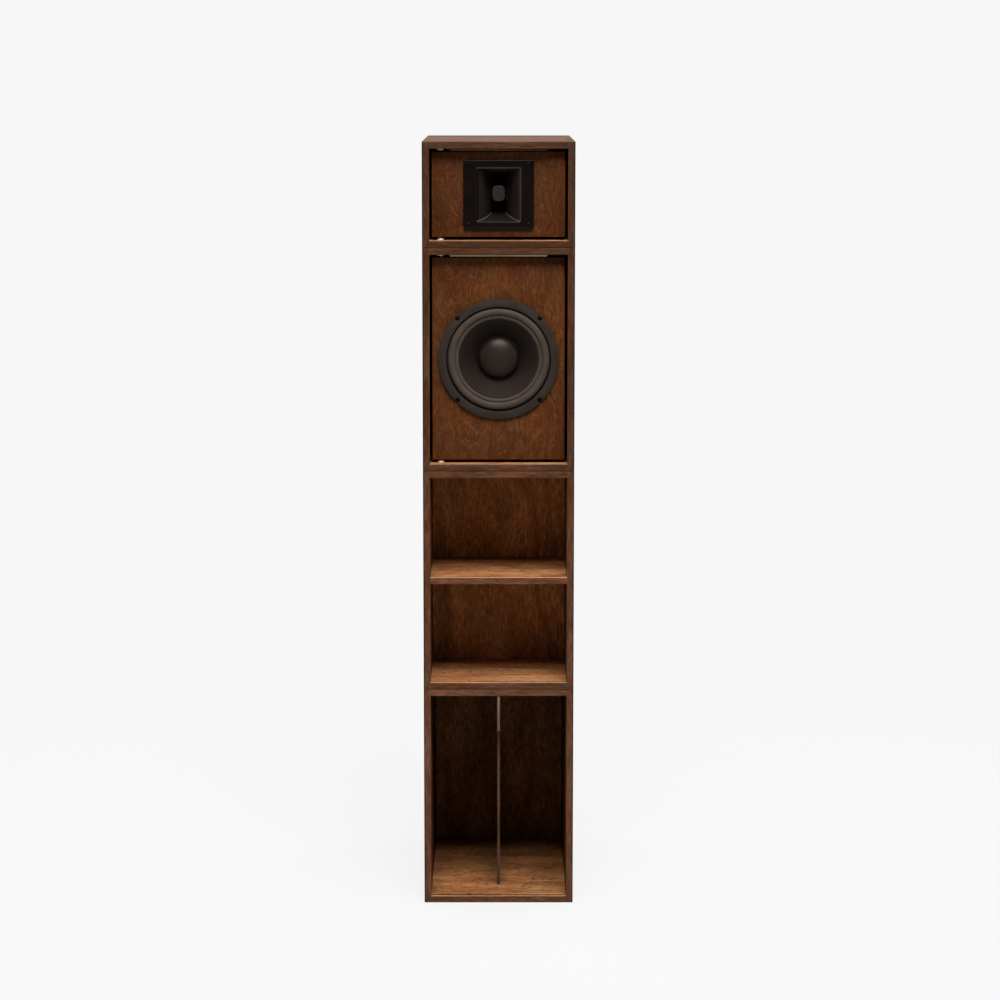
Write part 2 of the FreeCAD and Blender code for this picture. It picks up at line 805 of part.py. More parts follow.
def crossover_capacitors():
    """Two capacitors, lying on the board beside the coil."""
    corner = crossover_floor()
    x = corner.x + crossover_width - part_inset - capacitor_length
    z = corner.z + crossover_thickness + capacitor_radius
    side_inset = part_inset + capacitor_radius
    rows = [corner.y + side_inset, corner.y + crossover_depth - side_inset]
    return Part.makeCompound([bar(capacitor_radius, Vector(x, y, z), Vector(1, 0, 0), capacitor_length)
                              for y in rows])


def drilled_for_bushes(nodes, name, base_z, height):
    """Cuts the bush holes of one door into the floor and ceiling of its box."""
    for node, (face_z, towards_door) in zip(("_bottom", "_top"), pivot_ends(base_z, height)):
        nodes[name + node] = drilled_for_bush(nodes[name + node], face_z, towards_door)


def box_nodes():
    """The boards of all four boxes, with their holes."""
    nodes = box_boards("record", record_base, tall_box_height, panel_y)
    nodes.update(box_boards("disc", disc_base, tall_box_height, disc_panel_y, (shelf_z,)))
    nodes.update(box_boards("woofer", woofer_base, tall_box_height, panel_y))
    nodes.update(box_boards("horn", horn_base, horn_box_height, panel_y))
    disc_panel = nodes["disc_back"]
    nodes["disc_shelf"] = level_board(shelf_z, disc_panel, disc_panel_y)
    for node in ("record_top", "record_bottom"):
        nodes[node] = nodes[node].cut(divider_tenons())
    nodes["record_bottom"] = nodes["record_bottom"].cut(floor_groove())
    for low, high, joint_z in (("record", "disc", disc_base), ("disc", "woofer", woofer_base),
                               ("woofer", "horn", horn_base)):
        nodes[low + "_top"] = drilled_for_dowels(nodes[low + "_top"], joint_z)
        nodes[high + "_bottom"] = drilled_for_dowels(nodes[high + "_bottom"], joint_z)
    drilled_for_bushes(nodes, "woofer", woofer_base, tall_box_height)
    drilled_for_bushes(nodes, "horn", horn_base, horn_box_height)
    for node, place in zip(("woofer_back", "horn_back"), terminal_places()):
        nodes[node] = nodes[node].cut(cup_opening(place))
    return nodes


def fitting_nodes():
    """Everything else that stays still with the boxes."""
    boxes = ((woofer_base, tall_box_height), (horn_base, horn_box_height))
    ends = [end for box in boxes for end in pivot_ends(*box)]
    places = terminal_places()
    return {
        "record_divider": divider(),
        "stacking_dowels": stacking_dowels(),
        "pivot_bushes": Part.makeCompound([pivot_bush(*end) for end in ends]),
        "stop_battens": Part.makeCompound([batten(*box) for box in boxes]),
        "catch_magnets": Part.makeCompound([catch_magnet(*box) for box in boxes]),
        "terminal_cups": Part.makeCompound([terminal_cup(place) for place in places]),
        "terminal_sockets": Part.makeCompound([socket(place, sign) for place in places for sign in (-1, 1)]),
        "red_collars": Part.makeCompound([collar(place, -1) for place in places]),
        "black_collars": Part.makeCompound([collar(place, 1) for place in places]),
        "crossover_board": crossover_board(),
        "crossover_coil": crossover_coil(),
        "crossover_capacitors": crossover_capacitors(),
    }


def woofer_nodes():
    """The woofer's door and everything that swings with it."""
    ends = pivot_ends(woofer_base, tall_box_height)
    return {
        "woofer_door": woofer_door(),
        "woofer_door_pins": Part.makeCompound([pivot_pin(*end) for end in ends]),
        "woofer_strike_disc": strike_disc(woofer_base, tall_box_height),
        "woofer_basket": woofer_basket(),
        "woofer_surround": woofer_surround(),
        "woofer_spider": woofer_spider(),
        "woofer_top_plate": top_plate(),
        "woofer_magnet": magnet_ring(),
        "woofer_pole_piece": pole_piece(),
        "woofer_screws": woofer_screws(),
        "woofer_cone": woofer_cone(),
        "woofer_dust_cap": dust_cap(),
        "woofer_voice_coil": voice_coil(),
    }


def horn_nodes():
    """The horn's door and everything that swings with it."""
    ends = pivot_ends(horn_base, horn_box_height)
    return {
        "horn_door": horn_door(),
        "horn_door_pins": Part.makeCompound([pivot_pin(*end) for end in ends]),
        "horn_strike_disc": strike_disc(horn_base, horn_box_height),
        "horn_flare": horn_flare(),
        "throat_mesh": throat_mesh(),
        "horn_driver_housing": horn_driver_housing(),
        "horn_magnet": horn_magnet(),
        "horn_screws": horn_screws(),
    }


for group in (box_nodes(), fitting_nodes(), woofer_nodes(), horn_nodes()):
    for node_name, shape in group.items():
        shape.exportStep("parts/" + node_name + ".step")
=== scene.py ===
import json
import math
import bmesh
import bpy
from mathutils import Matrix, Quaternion, Vector


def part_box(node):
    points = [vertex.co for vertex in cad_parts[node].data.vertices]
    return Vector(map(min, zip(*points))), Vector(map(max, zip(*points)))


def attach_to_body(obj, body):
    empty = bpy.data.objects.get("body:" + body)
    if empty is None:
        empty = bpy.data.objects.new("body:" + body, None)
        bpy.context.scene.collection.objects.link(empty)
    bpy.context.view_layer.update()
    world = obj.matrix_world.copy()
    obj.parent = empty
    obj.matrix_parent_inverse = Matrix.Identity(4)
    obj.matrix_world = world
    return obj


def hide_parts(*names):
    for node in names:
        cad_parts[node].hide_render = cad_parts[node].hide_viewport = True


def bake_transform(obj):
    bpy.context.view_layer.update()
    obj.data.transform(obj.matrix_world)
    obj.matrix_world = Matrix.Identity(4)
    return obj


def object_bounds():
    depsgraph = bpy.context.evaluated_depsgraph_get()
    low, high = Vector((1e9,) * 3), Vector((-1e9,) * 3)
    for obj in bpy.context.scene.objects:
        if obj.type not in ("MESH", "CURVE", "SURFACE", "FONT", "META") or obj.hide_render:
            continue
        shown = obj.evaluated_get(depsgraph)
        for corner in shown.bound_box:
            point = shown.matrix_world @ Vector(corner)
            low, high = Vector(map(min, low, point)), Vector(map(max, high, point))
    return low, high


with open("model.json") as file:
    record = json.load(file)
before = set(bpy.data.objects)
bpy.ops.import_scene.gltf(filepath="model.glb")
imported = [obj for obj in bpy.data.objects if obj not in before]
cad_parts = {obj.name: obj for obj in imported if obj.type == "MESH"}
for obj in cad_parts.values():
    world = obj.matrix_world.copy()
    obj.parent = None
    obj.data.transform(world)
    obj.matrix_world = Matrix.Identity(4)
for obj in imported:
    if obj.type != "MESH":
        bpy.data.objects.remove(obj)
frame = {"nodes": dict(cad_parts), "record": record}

cad_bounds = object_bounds()
scene = bpy.context.scene
mm = 0.001
joint_gap = 0.3 * mm
weld = 0.002 * mm
touching = 0.01 * mm
X, Y, Z = Vector((1, 0, 0)), Vector((0, 1, 0)), Vector((0, 0, 1))
corner_signs = ((1, 1), (-1, 1), (-1, -1), (1, -1))
along_x, along_y, along_z = 0, 1, 2

# Places read from the frame
cabinet_low, cabinet_high = cad_bounds
outer_x = cabinet_high.x
front_y = cabinet_low.y
inner_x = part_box("horn_right_side")[0].x
core_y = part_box("horn_right_side")[0].y
door_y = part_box("woofer_door")[0].y
woofer_low, woofer_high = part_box("woofer_basket")
woofer_axis = Vector((0, door_y, (woofer_low.z + woofer_high.z) / 2))
horn_low, horn_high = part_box("horn_flare")
horn_axis = Vector((0, door_y, (horn_low.z + horn_high.z) / 2))
slot_of = {part["node"]: part["material_slot"] for part in frame["record"]["subparts"]}


# Node graphs

class Graph:
    """Adds nodes to a material or a world and joins them up."""

    def __init__(self, name, kind="materials", shader="Principled BSDF"):
        self.owner = getattr(bpy.data, kind).new(name)
        self.owner.use_nodes = True
        self.tree = self.owner.node_tree
        self.shader = self.tree.nodes[shader]

    def set(self, **values):
        """Plain values on the shader's own sockets."""
        return self.put(self.shader, {key.replace("_", " "): value for key, value in values.items()})

    def put(self, node, inputs):
        """Links or plain values on a node's inputs, by name or number."""
        for key, value in inputs.items():
            if isinstance(value, bpy.types.NodeSocket):
                self.tree.links.new(value, node.inputs[key])
            else:
                node.inputs[key].default_value = value
        return self

    def add(self, kind, inputs, output=0, **settings):
        """An output, by name or number, of a new node."""
        node = self.tree.nodes.new("ShaderNode" + kind)
        for key, value in settings.items():
            setattr(node, key, value)
        self.put(node, inputs)
        return node.outputs[output]

    def math(self, operation, *values, clamp=False):
        return self.add("Math", dict(enumerate(values)), operation=operation, use_clamp=clamp)

    def vector(self, operation, *values, output=0):
        return self.add("VectorMath", dict(enumerate(values)), output, operation=operation)

    def coordinates(self, scale=(1, 1, 1), offset=(0, 0, 0), warp=None):
        """The object's own coordinates, in metres, bent by a (scale, reach) warp and scaled."""
        vector = self.add("TexCoord", {}, "Object")
        if warp:
            place = self.add("Mapping", {"Vector": vector, "Location": offset})
            bend = self.add("TexNoise", {"Vector": place, "Scale": warp[0]}, "Color")
            centred = self.vector("SUBTRACT", bend, (0.5, 0.5, 0.5))
            vector = self.vector("MULTIPLY_ADD", centred, (warp[1],) * 3, vector)
        return self.add("Mapping", {"Vector": vector, "Location": offset, "Scale": scale})

    def axis(self, index):
        """One of the object's own coordinates."""
        return self.add("SeparateXYZ", {"Vector": self.coordinates()}, index)

    def radius(self, centre):
        """Distance from the front-to-back line through a point."""
        flat = self.vector("MULTIPLY", self.vector("SUBTRACT", self.coordinates(), centre), (1, 0, 1))
        return self.vector("LENGTH", flat, output="Value")

    def share(self, value, start, end):
        """How far a value is from a start to an end, from 0 to 1."""
        return self.math("DIVIDE", self.math("SUBTRACT", value, start), end - start, clamp=True)

    def noise(self, vector=None, scale=1.0, detail=2.0, roughness=0.55, distortion=0.0):
        inputs = {"Vector": vector or self.coordinates(), "Scale": scale, "Detail": detail,
                  "Roughness": roughness, "Distortion": distortion}
        return self.add("TexNoise", inputs, "Fac")

    def ramp(self, factor, *stops):
        """A colour ramp through (place, colour) or (place, grey) stops."""
        node = self.tree.nodes.new("ShaderNodeValToRGB")
        while len(node.color_ramp.elements) < len(stops):
            node.color_ramp.elements.new(0.5)
        for element, (place, colour) in zip(node.color_ramp.elements, stops):
            element.position = place
            element.color = (*colour, 1) if isinstance(colour, tuple) else (colour, colour, colour, 1)
        self.put(node, {"Fac": factor})
        return node.outputs["Color"]

    def mix(self, factor, first, second, mode="MIX"):
        first, second = ((*colour, 1) if isinstance(colour, tuple) else colour for colour in (first, second))
        return self.add("Mix", {"Factor": factor, 6: first, 7: second}, 2, data_type="RGBA", blend_type=mode)

    def times(self, colour, shade):
        return self.mix(1.0, colour, shade, "MULTIPLY")

    def colour(self, value):
        return self.put(self.shader, {"Base Color": value})

    def roughness(self, value, reach, base):
        """A roughness that grows with a value."""
        return self.put(self.shader, {"Roughness": self.math("MULTIPLY_ADD", value, reach, base)})

    def bump(self, height, distance):
        normal = self.add("Bump", {"Height": height, "Distance": distance, "Strength": 1.0}, "Normal")
        return self.put(self.shader, {"Normal": normal})


def scaled(colour, share):
    """A colour made lighter or darker."""
    return tuple(channel * share for channel in colour)


# Patterns in wood, in cells per metre across the grain and along it
band_scale, ring_scale, curl_scale, break_scale = (34, 9), (9, 2.4), (17, 6), (70, 24)
patch_scale, curl_folds = 15, 26


def wood(name, tones, seed, grain=along_z, lift=1, figure=0.15, bands=0.3, streaks=0.55, pores=0.35,
         gloss=0.5, rings=5, warp=(3, 0.008), across=330, along=22, dashes=None, lines=0, patches=1,
         specular=0.15, band=None):
    """Stained wood with streaks, bands, rings, patches, curled lines and pores, each as strong as its value.

    A lift makes its tones lighter. A band is a start and an end from front to back, and the painted shade
    between.
    """
    tones = [scaled(tone, lift) for tone in tones]
    graph = Graph(name).set(Specular_IOR_Level=specular, Specular_Tint=(1, 0.86, 0.72, 1))

    def stretched(crossways, lengthways):
        scale = [crossways] * 3
        scale[grain] = lengthways
        return graph.coordinates(scale, seed, warp)

    fine = graph.noise(stretched(across, along), detail=5, roughness=0.65)
    broad = graph.noise(stretched(*band_scale), distortion=0.3)
    contour = graph.noise(stretched(*ring_scale), detail=1.5, distortion=0.6)
    tone = graph.math("MULTIPLY", fine, streaks)
    tone = graph.math("MULTIPLY_ADD", broad, bands, tone)
    ringed = graph.math("PINGPONG", graph.math("MULTIPLY", contour, rings * 2), 1)
    tone = graph.math("MULTIPLY_ADD", ringed, figure, tone)
    tone = graph.math("DIVIDE", tone, streaks + bands + figure, clamp=True)
    base = graph.ramp(tone, *zip((0.34, 0.5, 0.66), tones))
    cloud = graph.noise(graph.coordinates(offset=seed), patch_scale)
    red, green, blue = (strength * patches for strength in (0.08, 0.05, 0.13))
    warm, cool = (1 + red, 1 - green, 1 - blue), (1 - red, 1 + green, 1 + blue)
    base = graph.times(base, graph.ramp(cloud, (0.36, warm), (0.64, cool)))
    if lines:
        curl = graph.noise(stretched(*curl_scale), detail=2.5, roughness=0.6, distortion=0.4)
        ridge = graph.math("PINGPONG", graph.math("MULTIPLY", curl, curl_folds), 1)
        broken = graph.ramp(graph.noise(stretched(*break_scale)), (0.5, 0), (0.6, lines))
        thread = graph.math("MULTIPLY", graph.ramp(ridge, (0.04, 1), (0.2, 0)), broken)
        base = graph.mix(thread, base, scaled(tones[2], 1.6))
    ticks = graph.noise(stretched(*(dashes or (900, 5 * along))))
    tick_shade = graph.ramp(ticks, (0.30, 1 - pores), (0.44, 1.0))
    base = graph.times(base, tick_shade)
    if band:
        start, end, *stops = band
        base = graph.times(base, graph.ramp(graph.share(graph.axis(along_y), start, end), *stops))
    graph.colour(base).roughness(tone, 0.22, 0.62 - 0.3 * gloss)
    relief = graph.math("ADD", graph.math("MULTIPLY", tick_shade, 0.6), graph.math("MULTIPLY", fine, 0.4))
    return graph.bump(relief, 0.12 * mm).owner


def moulded(name, colour, roughness, specular=0.5, grain_size=0.4, depth=0.008, spread=0.12):
    """Plastic or paint with a fine surface texture and slight unevenness."""
    graph = Graph(name).set(Specular_IOR_Level=specular, Specular_Tint=(1, 0.9, 0.82, 1))
    texture = graph.noise(scale=1 / (grain_size * mm))
    cloud = graph.noise(scale=40)
    graph.colour(graph.ramp(cloud, (0.3, scaled(colour, 1 - spread)), (0.7, scaled(colour, 1 + spread))))
    graph.roughness(cloud, 0.16, roughness - 0.08)
    return graph.bump(texture, depth * mm).owner


def turned_metal(name, colour, roughness):
    """Machined metal with fine rings round a front-to-back axis."""
    graph = Graph(name).set(Metallic=1.0)
    lines = graph.noise(graph.coordinates((900, 60, 900)))
    graph.colour(graph.ramp(lines, (0.3, scaled(colour, 0.85)), (0.7, colour)))
    graph.roughness(lines, 0.2, roughness - 0.1)
    return graph.bump(lines, 0.01 * mm).owner


# Tones of the woods, each dark, middle and light
walnut_tones = (0.045, 0.016, 0.007), (0.088, 0.034, 0.015), (0.15, 0.065, 0.031)
edge_tones = (0.04, 0.015, 0.0065), (0.088, 0.0345, 0.0165), (0.15, 0.068, 0.036)
# Painted highlights for the inner arrises of the lipping, far lighter than the stain
arris_highlight_tones = (0.5, 0.25, 0.145), (0.7, 0.355, 0.2), (0.92, 0.5, 0.29)
end_tones = (0.086, 0.04, 0.02), (0.14, 0.069, 0.036), (0.2, 0.102, 0.056)
shelf_tones = (0.195, 0.076, 0.026), (0.385, 0.166, 0.064), (0.55, 0.265, 0.118)
back_tones = (0.095, 0.037, 0.01), (0.21, 0.084, 0.025), (0.37, 0.17, 0.062)
top_tones = (0.086, 0.033, 0.0138), (0.152, 0.061, 0.0275), (0.218, 0.098, 0.0475)
baffle_tones = (0.066, 0.019, 0.0048), (0.099, 0.031, 0.0083), (0.14, 0.05, 0.016)
lit_nose_tones = (0.105, 0.058, 0.036), (0.172, 0.1, 0.066), (0.235, 0.145, 0.1)
ply_edge_tones = (0.065, 0.034, 0.021), (0.118, 0.064, 0.043), (0.18, 0.104, 0.072)
pale_tones = (0.52, 0.4, 0.27), (0.68, 0.56, 0.42), (0.8, 0.69, 0.55)

boxes = ("record", "disc", "woofer", "horn")
# Painted light per box: lighter or darker copies of the edge, back and arris woods, the edges and arris
# highlights lightest on the lower boxes and the back lightest in the disc box
edge_lift = {"record": 1.58, "disc": 1.37, "woofer": 0.88, "horn": 0.78}
back_lift = {"record": 1.45, "disc": 2.1, "woofer": 1.2, "horn": 1.2}
arris_highlight_lift = {"record": 1.15, "disc": 1.15, "woofer": 0.55, "horn": 0.55}
# Painted light on the fronts of the speaker boxes' level boards, and painted shade on them inside, behind the
# doors
speaker_level_lift, speaker_inside_shade = 1.3, 0.23

# The boards are stained alike, and each box has its own stretch of grain
shelf_look = {"grain": along_x, "pores": 0.5, "across": 130, "along": 50, "dashes": (90, 110), "patches": 0.6}
edge_look = {"figure": 0, "pores": 0.6, "gloss": 0.95, "along": 45, "specular": 0.25}
back_look = {"figure": 0.1, "bands": 0.2, "streaks": 0.6, "pores": 0.6, "lines": 0.12, "patches": 0.7,
             "along": 60, "warp": (9, 0.03)}
baffle_look = {"bands": 0.08, "streaks": 0.9, "pores": 0.5, "lines": 0.5, "patches": 0.7, "along": 80,
               "warp": (9, 0.07)}
arris_look = {"figure": 0, "gloss": 0.9, "specular": 0.3}
joint_look = {"figure": 0, "gloss": 0.7}
top_look = {"grain": along_x, "gloss": 0.6, "specular": 0.12}
seed_step = 3.7
wood_of = {}
for number, box in enumerate(boxes):
    shift = seed_step * number
    is_speaker = box in ("woofer", "horn")
    inside = speaker_inside_shade if is_speaker else 1
    # Painted shade: darker inside the speaker boxes and at the very back of every level board
    depth_shade_band = (front_y, cabinet_high.y, (0.048, 1), (0.055, inside), (0.985, inside), (0.995, 0.4))
    wood_of[box, "side"] = wood("walnut_side_" + box, walnut_tones, (shift, 1.3, 0.4), figure=0.1)
    lift = speaker_level_lift if is_speaker else 1
    wood_of[box, "level"] = wood("walnut_level_" + box, shelf_tones, (0.9, shift, 2.2), lift=lift,
                                 band=depth_shade_band, **shelf_look)
    # The lit copy of the edge wood is painted light, for the lipping of a lit level board
    for run, grain, lift in (("upright", along_z, 1), ("level", along_x, 1), ("lit", along_x, 1.27)):
        wood_of[box, run + "_edge"] = wood(f"edge_{run}_{box}", edge_tones, (shift, 4.1, 1.7 + grain), grain,
                                           lift * edge_lift[box], **edge_look)
    wood_of[box, "back"] = wood("ply_back_" + box, back_tones, (shift, 7.7, 0.2), lift=back_lift[box],
                                **back_look)
    # Painted highlights on the inner arrises of the level boards
    wood_of[box, "arris"] = wood("arris_highlight_level_" + box, arris_highlight_tones, (1.5, 4.1, 1.7), along_x, arris_highlight_lift[box],
                                 **arris_look)
# Painted shade on the outer arrises of the lipping
shaded_edge_wood = wood("edge_painted_shade", edge_tones, (2.2, 4.1, 1.7), along_z, 0.2, **joint_look)
# Painted shade in the groove where two boxes meet
joint_shade_wood = wood("edge_joint_shade", edge_tones, (2.2, 4.1, 1.7), along_x, 0.3, **joint_look)
# Painted highlights on the upright inner arrises
side_arris_highlight_wood = wood("arris_highlight_upright", edge_tones, (1.5, 4.1, 5.7), along_z, 1.5, **arris_look)
end_wood = wood("end_grain", end_tones, (4.5, 0.1, 2.7), along_y, figure=0.3, gloss=0.3)
# Painted shade: the top darker towards its rear
top_shade_band = (front_y, cabinet_high.y, (0, 1), (0.7, 0.92), (0.8, 0.5))
top_wood = wood("walnut_top", top_tones, (1.1, 8.2, 3.1), band=top_shade_band, **top_look)
# Painted light: a lighter copy of the top's wood for the top face of the lipping
lit_top_front_wood = wood("walnut_top_front_lit", top_tones, (1.1, 8.2, 3.1), lift=1.35, **top_look)
# Painted shade along the groove near the front of the record floor
groove_shade_band = (core_y - 3 * mm, core_y + 7 * mm, (0.22, 1), (0.3, 0.25), (0.5, 0.25), (0.58, 1))
floor_wood = wood("walnut_record_floor", shelf_tones, (0.9, 0, 2.2), band=groove_shade_band, **shelf_look)
divider_wood = wood("ply_divider", walnut_tones, (6.1, 2.2, 0.7), pores=0.3)
divider_edge_wood = wood("ply_divider_edge", ply_edge_tones, (6.1, 3.2, 0.7), pores=0.3)
# Painted light: the divider's front nose lighter than its edge wood
lit_nose_wood = wood("ply_divider_nose", lit_nose_tones, (6.1, 2.2, 0.7), pores=0.2)
baffle_wood = {
    "woofer_door": wood("ply_woofer_door", baffle_tones, (0.35, 2, 1.15), figure=0.14, rings=14,
                        **baffle_look),
    "horn_door": wood("ply_horn_door", baffle_tones, (5.2, 1, 3.9), lift=0.85, figure=0.12, rings=12,
                      **baffle_look)}
# Painted light on the doors' chamfer, which the side boards shade
lit_bevel_wood = wood("ply_door_bevel", baffle_tones, (0.35, 2, 1.15), lift=2.2, figure=0, along=75)
batten_wood = wood("stained_batten", walnut_tones, (0.2, 0.6, 0.1), along_x, 1.3, pores=0.3)
dark_strip_wood = wood("stained_strip", walnut_tones, (0.7, 0.6, 0.1), along_x, 0.55, pores=0.3)
strip_wood = wood("pale_strip", pale_tones, (0.7, 0.6, 0.1), along_x, 0.46, pores=0.1)
dowel_wood = wood("beech_dowel", pale_tones, (1.2, 0.6, 0.1), pores=0.3)

# Paints, plastics and metals
basket_paint = moulded("basket_paint", (0.033, 0.026, 0.022), 0.55, 0.12, 0.35, 0.035)
surround_rubber = moulded("surround_rubber", (0.064, 0.05, 0.041), 0.6, 0.15, 0.5, 0.01)
horn_plastic = moulded("horn_plastic", (0.003, 0.0014, 0.0006), 0.34, 0.24)
# Painted light and shade on the horn's mouth: highlights on the lower creases and the top and right lip,
# shade on the left lip, and walls and floor lighter than the flange
painted_light_plastic = {
    "wall": moulded("horn_wall", (0.021, 0.0155, 0.0128), 0.4, 0.3),
    "crease": moulded("horn_crease", (0.125, 0.105, 0.098), 0.35, 0.3),
    "floor": moulded("horn_floor", (0.011, 0.009, 0.0076), 0.4, 0.24),
    "top": moulded("horn_lip_top", (0.075, 0.062, 0.056), 0.35, 0.3),
    "low": moulded("horn_lip_low", (0.006, 0.005, 0.004), 0.45, 0.2),
    "left": moulded("horn_lip_left", (0.004, 0.003, 0.002), 0.7, 0.1),
    "right": moulded("horn_lip_right", (0.038, 0.031, 0.027), 0.35, 0.3)}
black_plastic = moulded("black_plastic", (0.018, 0.018, 0.019), 0.5, 0.5, 0.3, 0.03)
red_plastic = moulded("red_plastic", (0.42, 0.014, 0.012), 0.35, 0.5, 0.5, 0.01)
screw_black = moulded("screw_black", (0.002, 0.002, 0.002), 0.4, 0.2, 0.2, 0.01)
nylon = moulded("white_nylon", (0.9, 0.89, 0.86), 0.35, 0.5, 0.5, 0.01, 0.03)
# Painted shade: near black, for hollows in shade
painted_shade_black = moulded("painted_shade_black", (0.0012, 0.001, 0.0009), 0.9, 0.05, 0.6, 0.02)
ferrite = moulded("ferrite", (0.055, 0.055, 0.058), 0.6, 0.5, 0.8, 0.05)
film_yellow = moulded("capacitor_film", (0.55, 0.38, 0.06), 0.4, 0.5, 0.6, 0.02)
steel = turned_metal("zinc_steel", (0.62, 0.62, 0.61), 0.36)
bright_steel = turned_metal("bright_steel", (0.74, 0.73, 0.71), 0.24)
dark_steel = turned_metal("dark_steel", (0.16, 0.15, 0.14), 0.5)
brass = turned_metal("socket_brass", (0.78, 0.58, 0.26), 0.26)
foil = turned_metal("former_foil", (0.66, 0.62, 0.58), 0.35)


def paper_material():
    """Coated pulp with short fibres, with painted shade that darkens it towards the cap and towards the top.
    """
    graph = Graph("cone_paper").set(Specular_IOR_Level=0.06)
    fibres = graph.noise(graph.coordinates((700, 700, 700)), detail=4, distortion=1.2)
    cloud = graph.noise(scale=24, detail=3)
    pulp = graph.ramp(cloud, (0.3, (0.019, 0.0132, 0.0113)), (0.7, (0.026, 0.0182, 0.0157)))
    hairs = graph.ramp(fibres, (0.35, (0.012, 0.0084, 0.0072)), (0.65, (0.036, 0.0250, 0.0216)))
    # Painted shade towards the cap and towards the top
    reach = graph.math("DIVIDE", graph.radius(woofer_axis), 70 * mm)
    base = graph.times(graph.mix(0.35, pulp, hairs), graph.ramp(reach, (0.55, 0.55), (0.95, 1.0)))
    height = graph.share(graph.axis(along_z), woofer_low.z, woofer_high.z)
    graph.colour(graph.times(base, graph.ramp(height, (0.25, 1.1), (0.5, 0.78), (0.8, 0.75))))
    graph.roughness(fibres, 0.2, 0.55)
    return graph.bump(fibres, 0.05 * mm).owner


def cap_material():
    """The dust cap, with painted shade that darkens it towards its rim."""
    graph = Graph("cap_paper").set(Roughness=0.44, Specular_IOR_Level=0.30, Specular_Tint=(1, 0.8, 0.7, 1))
    reach = graph.math("DIVIDE", graph.radius(woofer_axis), 40 * mm)
    graph.colour(graph.ramp(reach, (0.35, (0.0190, 0.0132, 0.0112)), (0.85, (0.0060, 0.0042, 0.0036))))
    return graph.bump(graph.noise(scale=1600), 0.02 * mm).owner


def cloth_material():
    """Resin-treated open weave, for the spider."""
    graph = Graph("spider_cloth").set(Roughness=0.8)
    waves = [graph.math("SINE", graph.math("MULTIPLY", graph.axis(i), 5200)) for i in (along_x, along_z)]
    weave = graph.math("MULTIPLY", *waves)
    graph.colour(graph.ramp(weave, (0.2, (0.34, 0.22, 0.09)), (0.8, (0.60, 0.44, 0.22))))
    return graph.bump(weave, 0.1 * mm).owner


def mesh_material():
    """Fine woven metal: bright wires and dark gaps."""
    graph = Graph("throat_mesh").set(Metallic=0.7, Roughness=0.45)
    holes = graph.add("TexVoronoi", {"Vector": graph.coordinates((1, 0.001, 1)), "Scale": 1100}, "Distance")
    graph.colour(graph.ramp(holes, (0.25, (0.03, 0.026, 0.024)), (0.55, (0.34, 0.30, 0.275))))
    return graph.bump(holes, 0.15 * mm).owner


def winding_material(name, axis, pitch, colour=(0.62, 0.25, 0.12)):
    """Enamelled copper wire laid turn by turn along an axis."""
    graph = Graph(name).set(Metallic=0.85, Roughness=0.38)
    turns = graph.math("SINE", graph.math("MULTIPLY", graph.axis(axis), 2 * math.pi / pitch))
    graph.colour(graph.ramp(turns, (0.2, scaled(colour, 0.55)), (0.8, colour)))
    return graph.bump(turns, 0.2 * mm).owner


def fibreboard_material():
    """Plain fibreboard, for the crossover's carrier."""
    graph = Graph("fibreboard").set(Roughness=0.85)
    flecks = graph.noise(scale=900, detail=3)
    graph.colour(graph.ramp(flecks, (0.3, (0.26, 0.16, 0.08)), (0.7, (0.42, 0.29, 0.17))))
    return graph.bump(flecks, 0.1 * mm).owner


# Meshes

def linked(name, data):
    """A new object in the scene."""
    item = bpy.data.objects.new(name, data)
    scene.collection.objects.link(item)
    return item


def attach(name, mesh, material, body, *nodes, slot=None):
    """Puts a mesh in the scene, on its body, in place of the nodes that it stands for."""
    piece = linked(name, mesh)
    mesh.materials.clear()
    mesh.materials.append(material)
    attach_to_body(piece, body)
    if nodes:
        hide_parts(*nodes)
    return piece


def add_copy(name, node, ease, material, body="cabinet", segments=2):
    """Puts a copy of a node in its place, with flat faces joined and its edges eased."""
    edit = opened(node)
    bmesh.ops.dissolve_limit(edit, angle_limit=math.radians(0.5), verts=edit.verts, edges=edit.edges)
    mesh = eased(new_mesh(edit, node + "_eased"), ease * mm, segments)
    return attach(name, mesh, material, body, node)


def recolour(piece, material, test):
    """Gives another material to the faces that pass a test."""
    piece.data.materials.append(material)
    for polygon in piece.data.polygons:
        if test(polygon):
            polygon.material_index = len(piece.data.materials) - 1


def paint(node, material):
    """Gives a CAD node that stays its material."""
    materials = frame["nodes"][node].data.materials
    materials.clear()
    materials.append(material)


def new_mesh(edit, name):
    """The edited faces as a mesh."""
    mesh = bpy.data.meshes.new(name)
    edit.to_mesh(mesh)
    edit.free()
    return mesh


def opened(node):
    """A node's faces, joined at their corners, for editing."""
    edit = bmesh.new()
    edit.from_mesh(frame["nodes"][node].data)
    bmesh.ops.remove_doubles(edit, verts=edit.verts, dist=weld)
    return edit


def shade(mesh, angle=32):
    """Smooth faces, with a crease wherever two faces meet at more than an angle."""
    edit = bmesh.new()
    edit.from_mesh(mesh)
    for face in edit.faces:
        face.smooth = True
    for edge in edit.edges:
        if len(edge.link_faces) == 2:
            edge.smooth = edge.calc_face_angle(0) < math.radians(angle)
    edit.to_mesh(mesh)
    edit.free()
    return mesh


def applied(mesh, kind, **settings):
    """The mesh after a modifier."""
    holder = linked("holder", mesh)
    modifier = holder.modifiers.new(kind, kind)
    for key, value in settings.items():
        setattr(modifier, key, value)
    bpy.context.view_layer.update()
    result = bpy.data.meshes.new_from_object(holder.evaluated_get(bpy.context.evaluated_depsgraph_get()))
    bpy.data.objects.remove(holder)
    return result


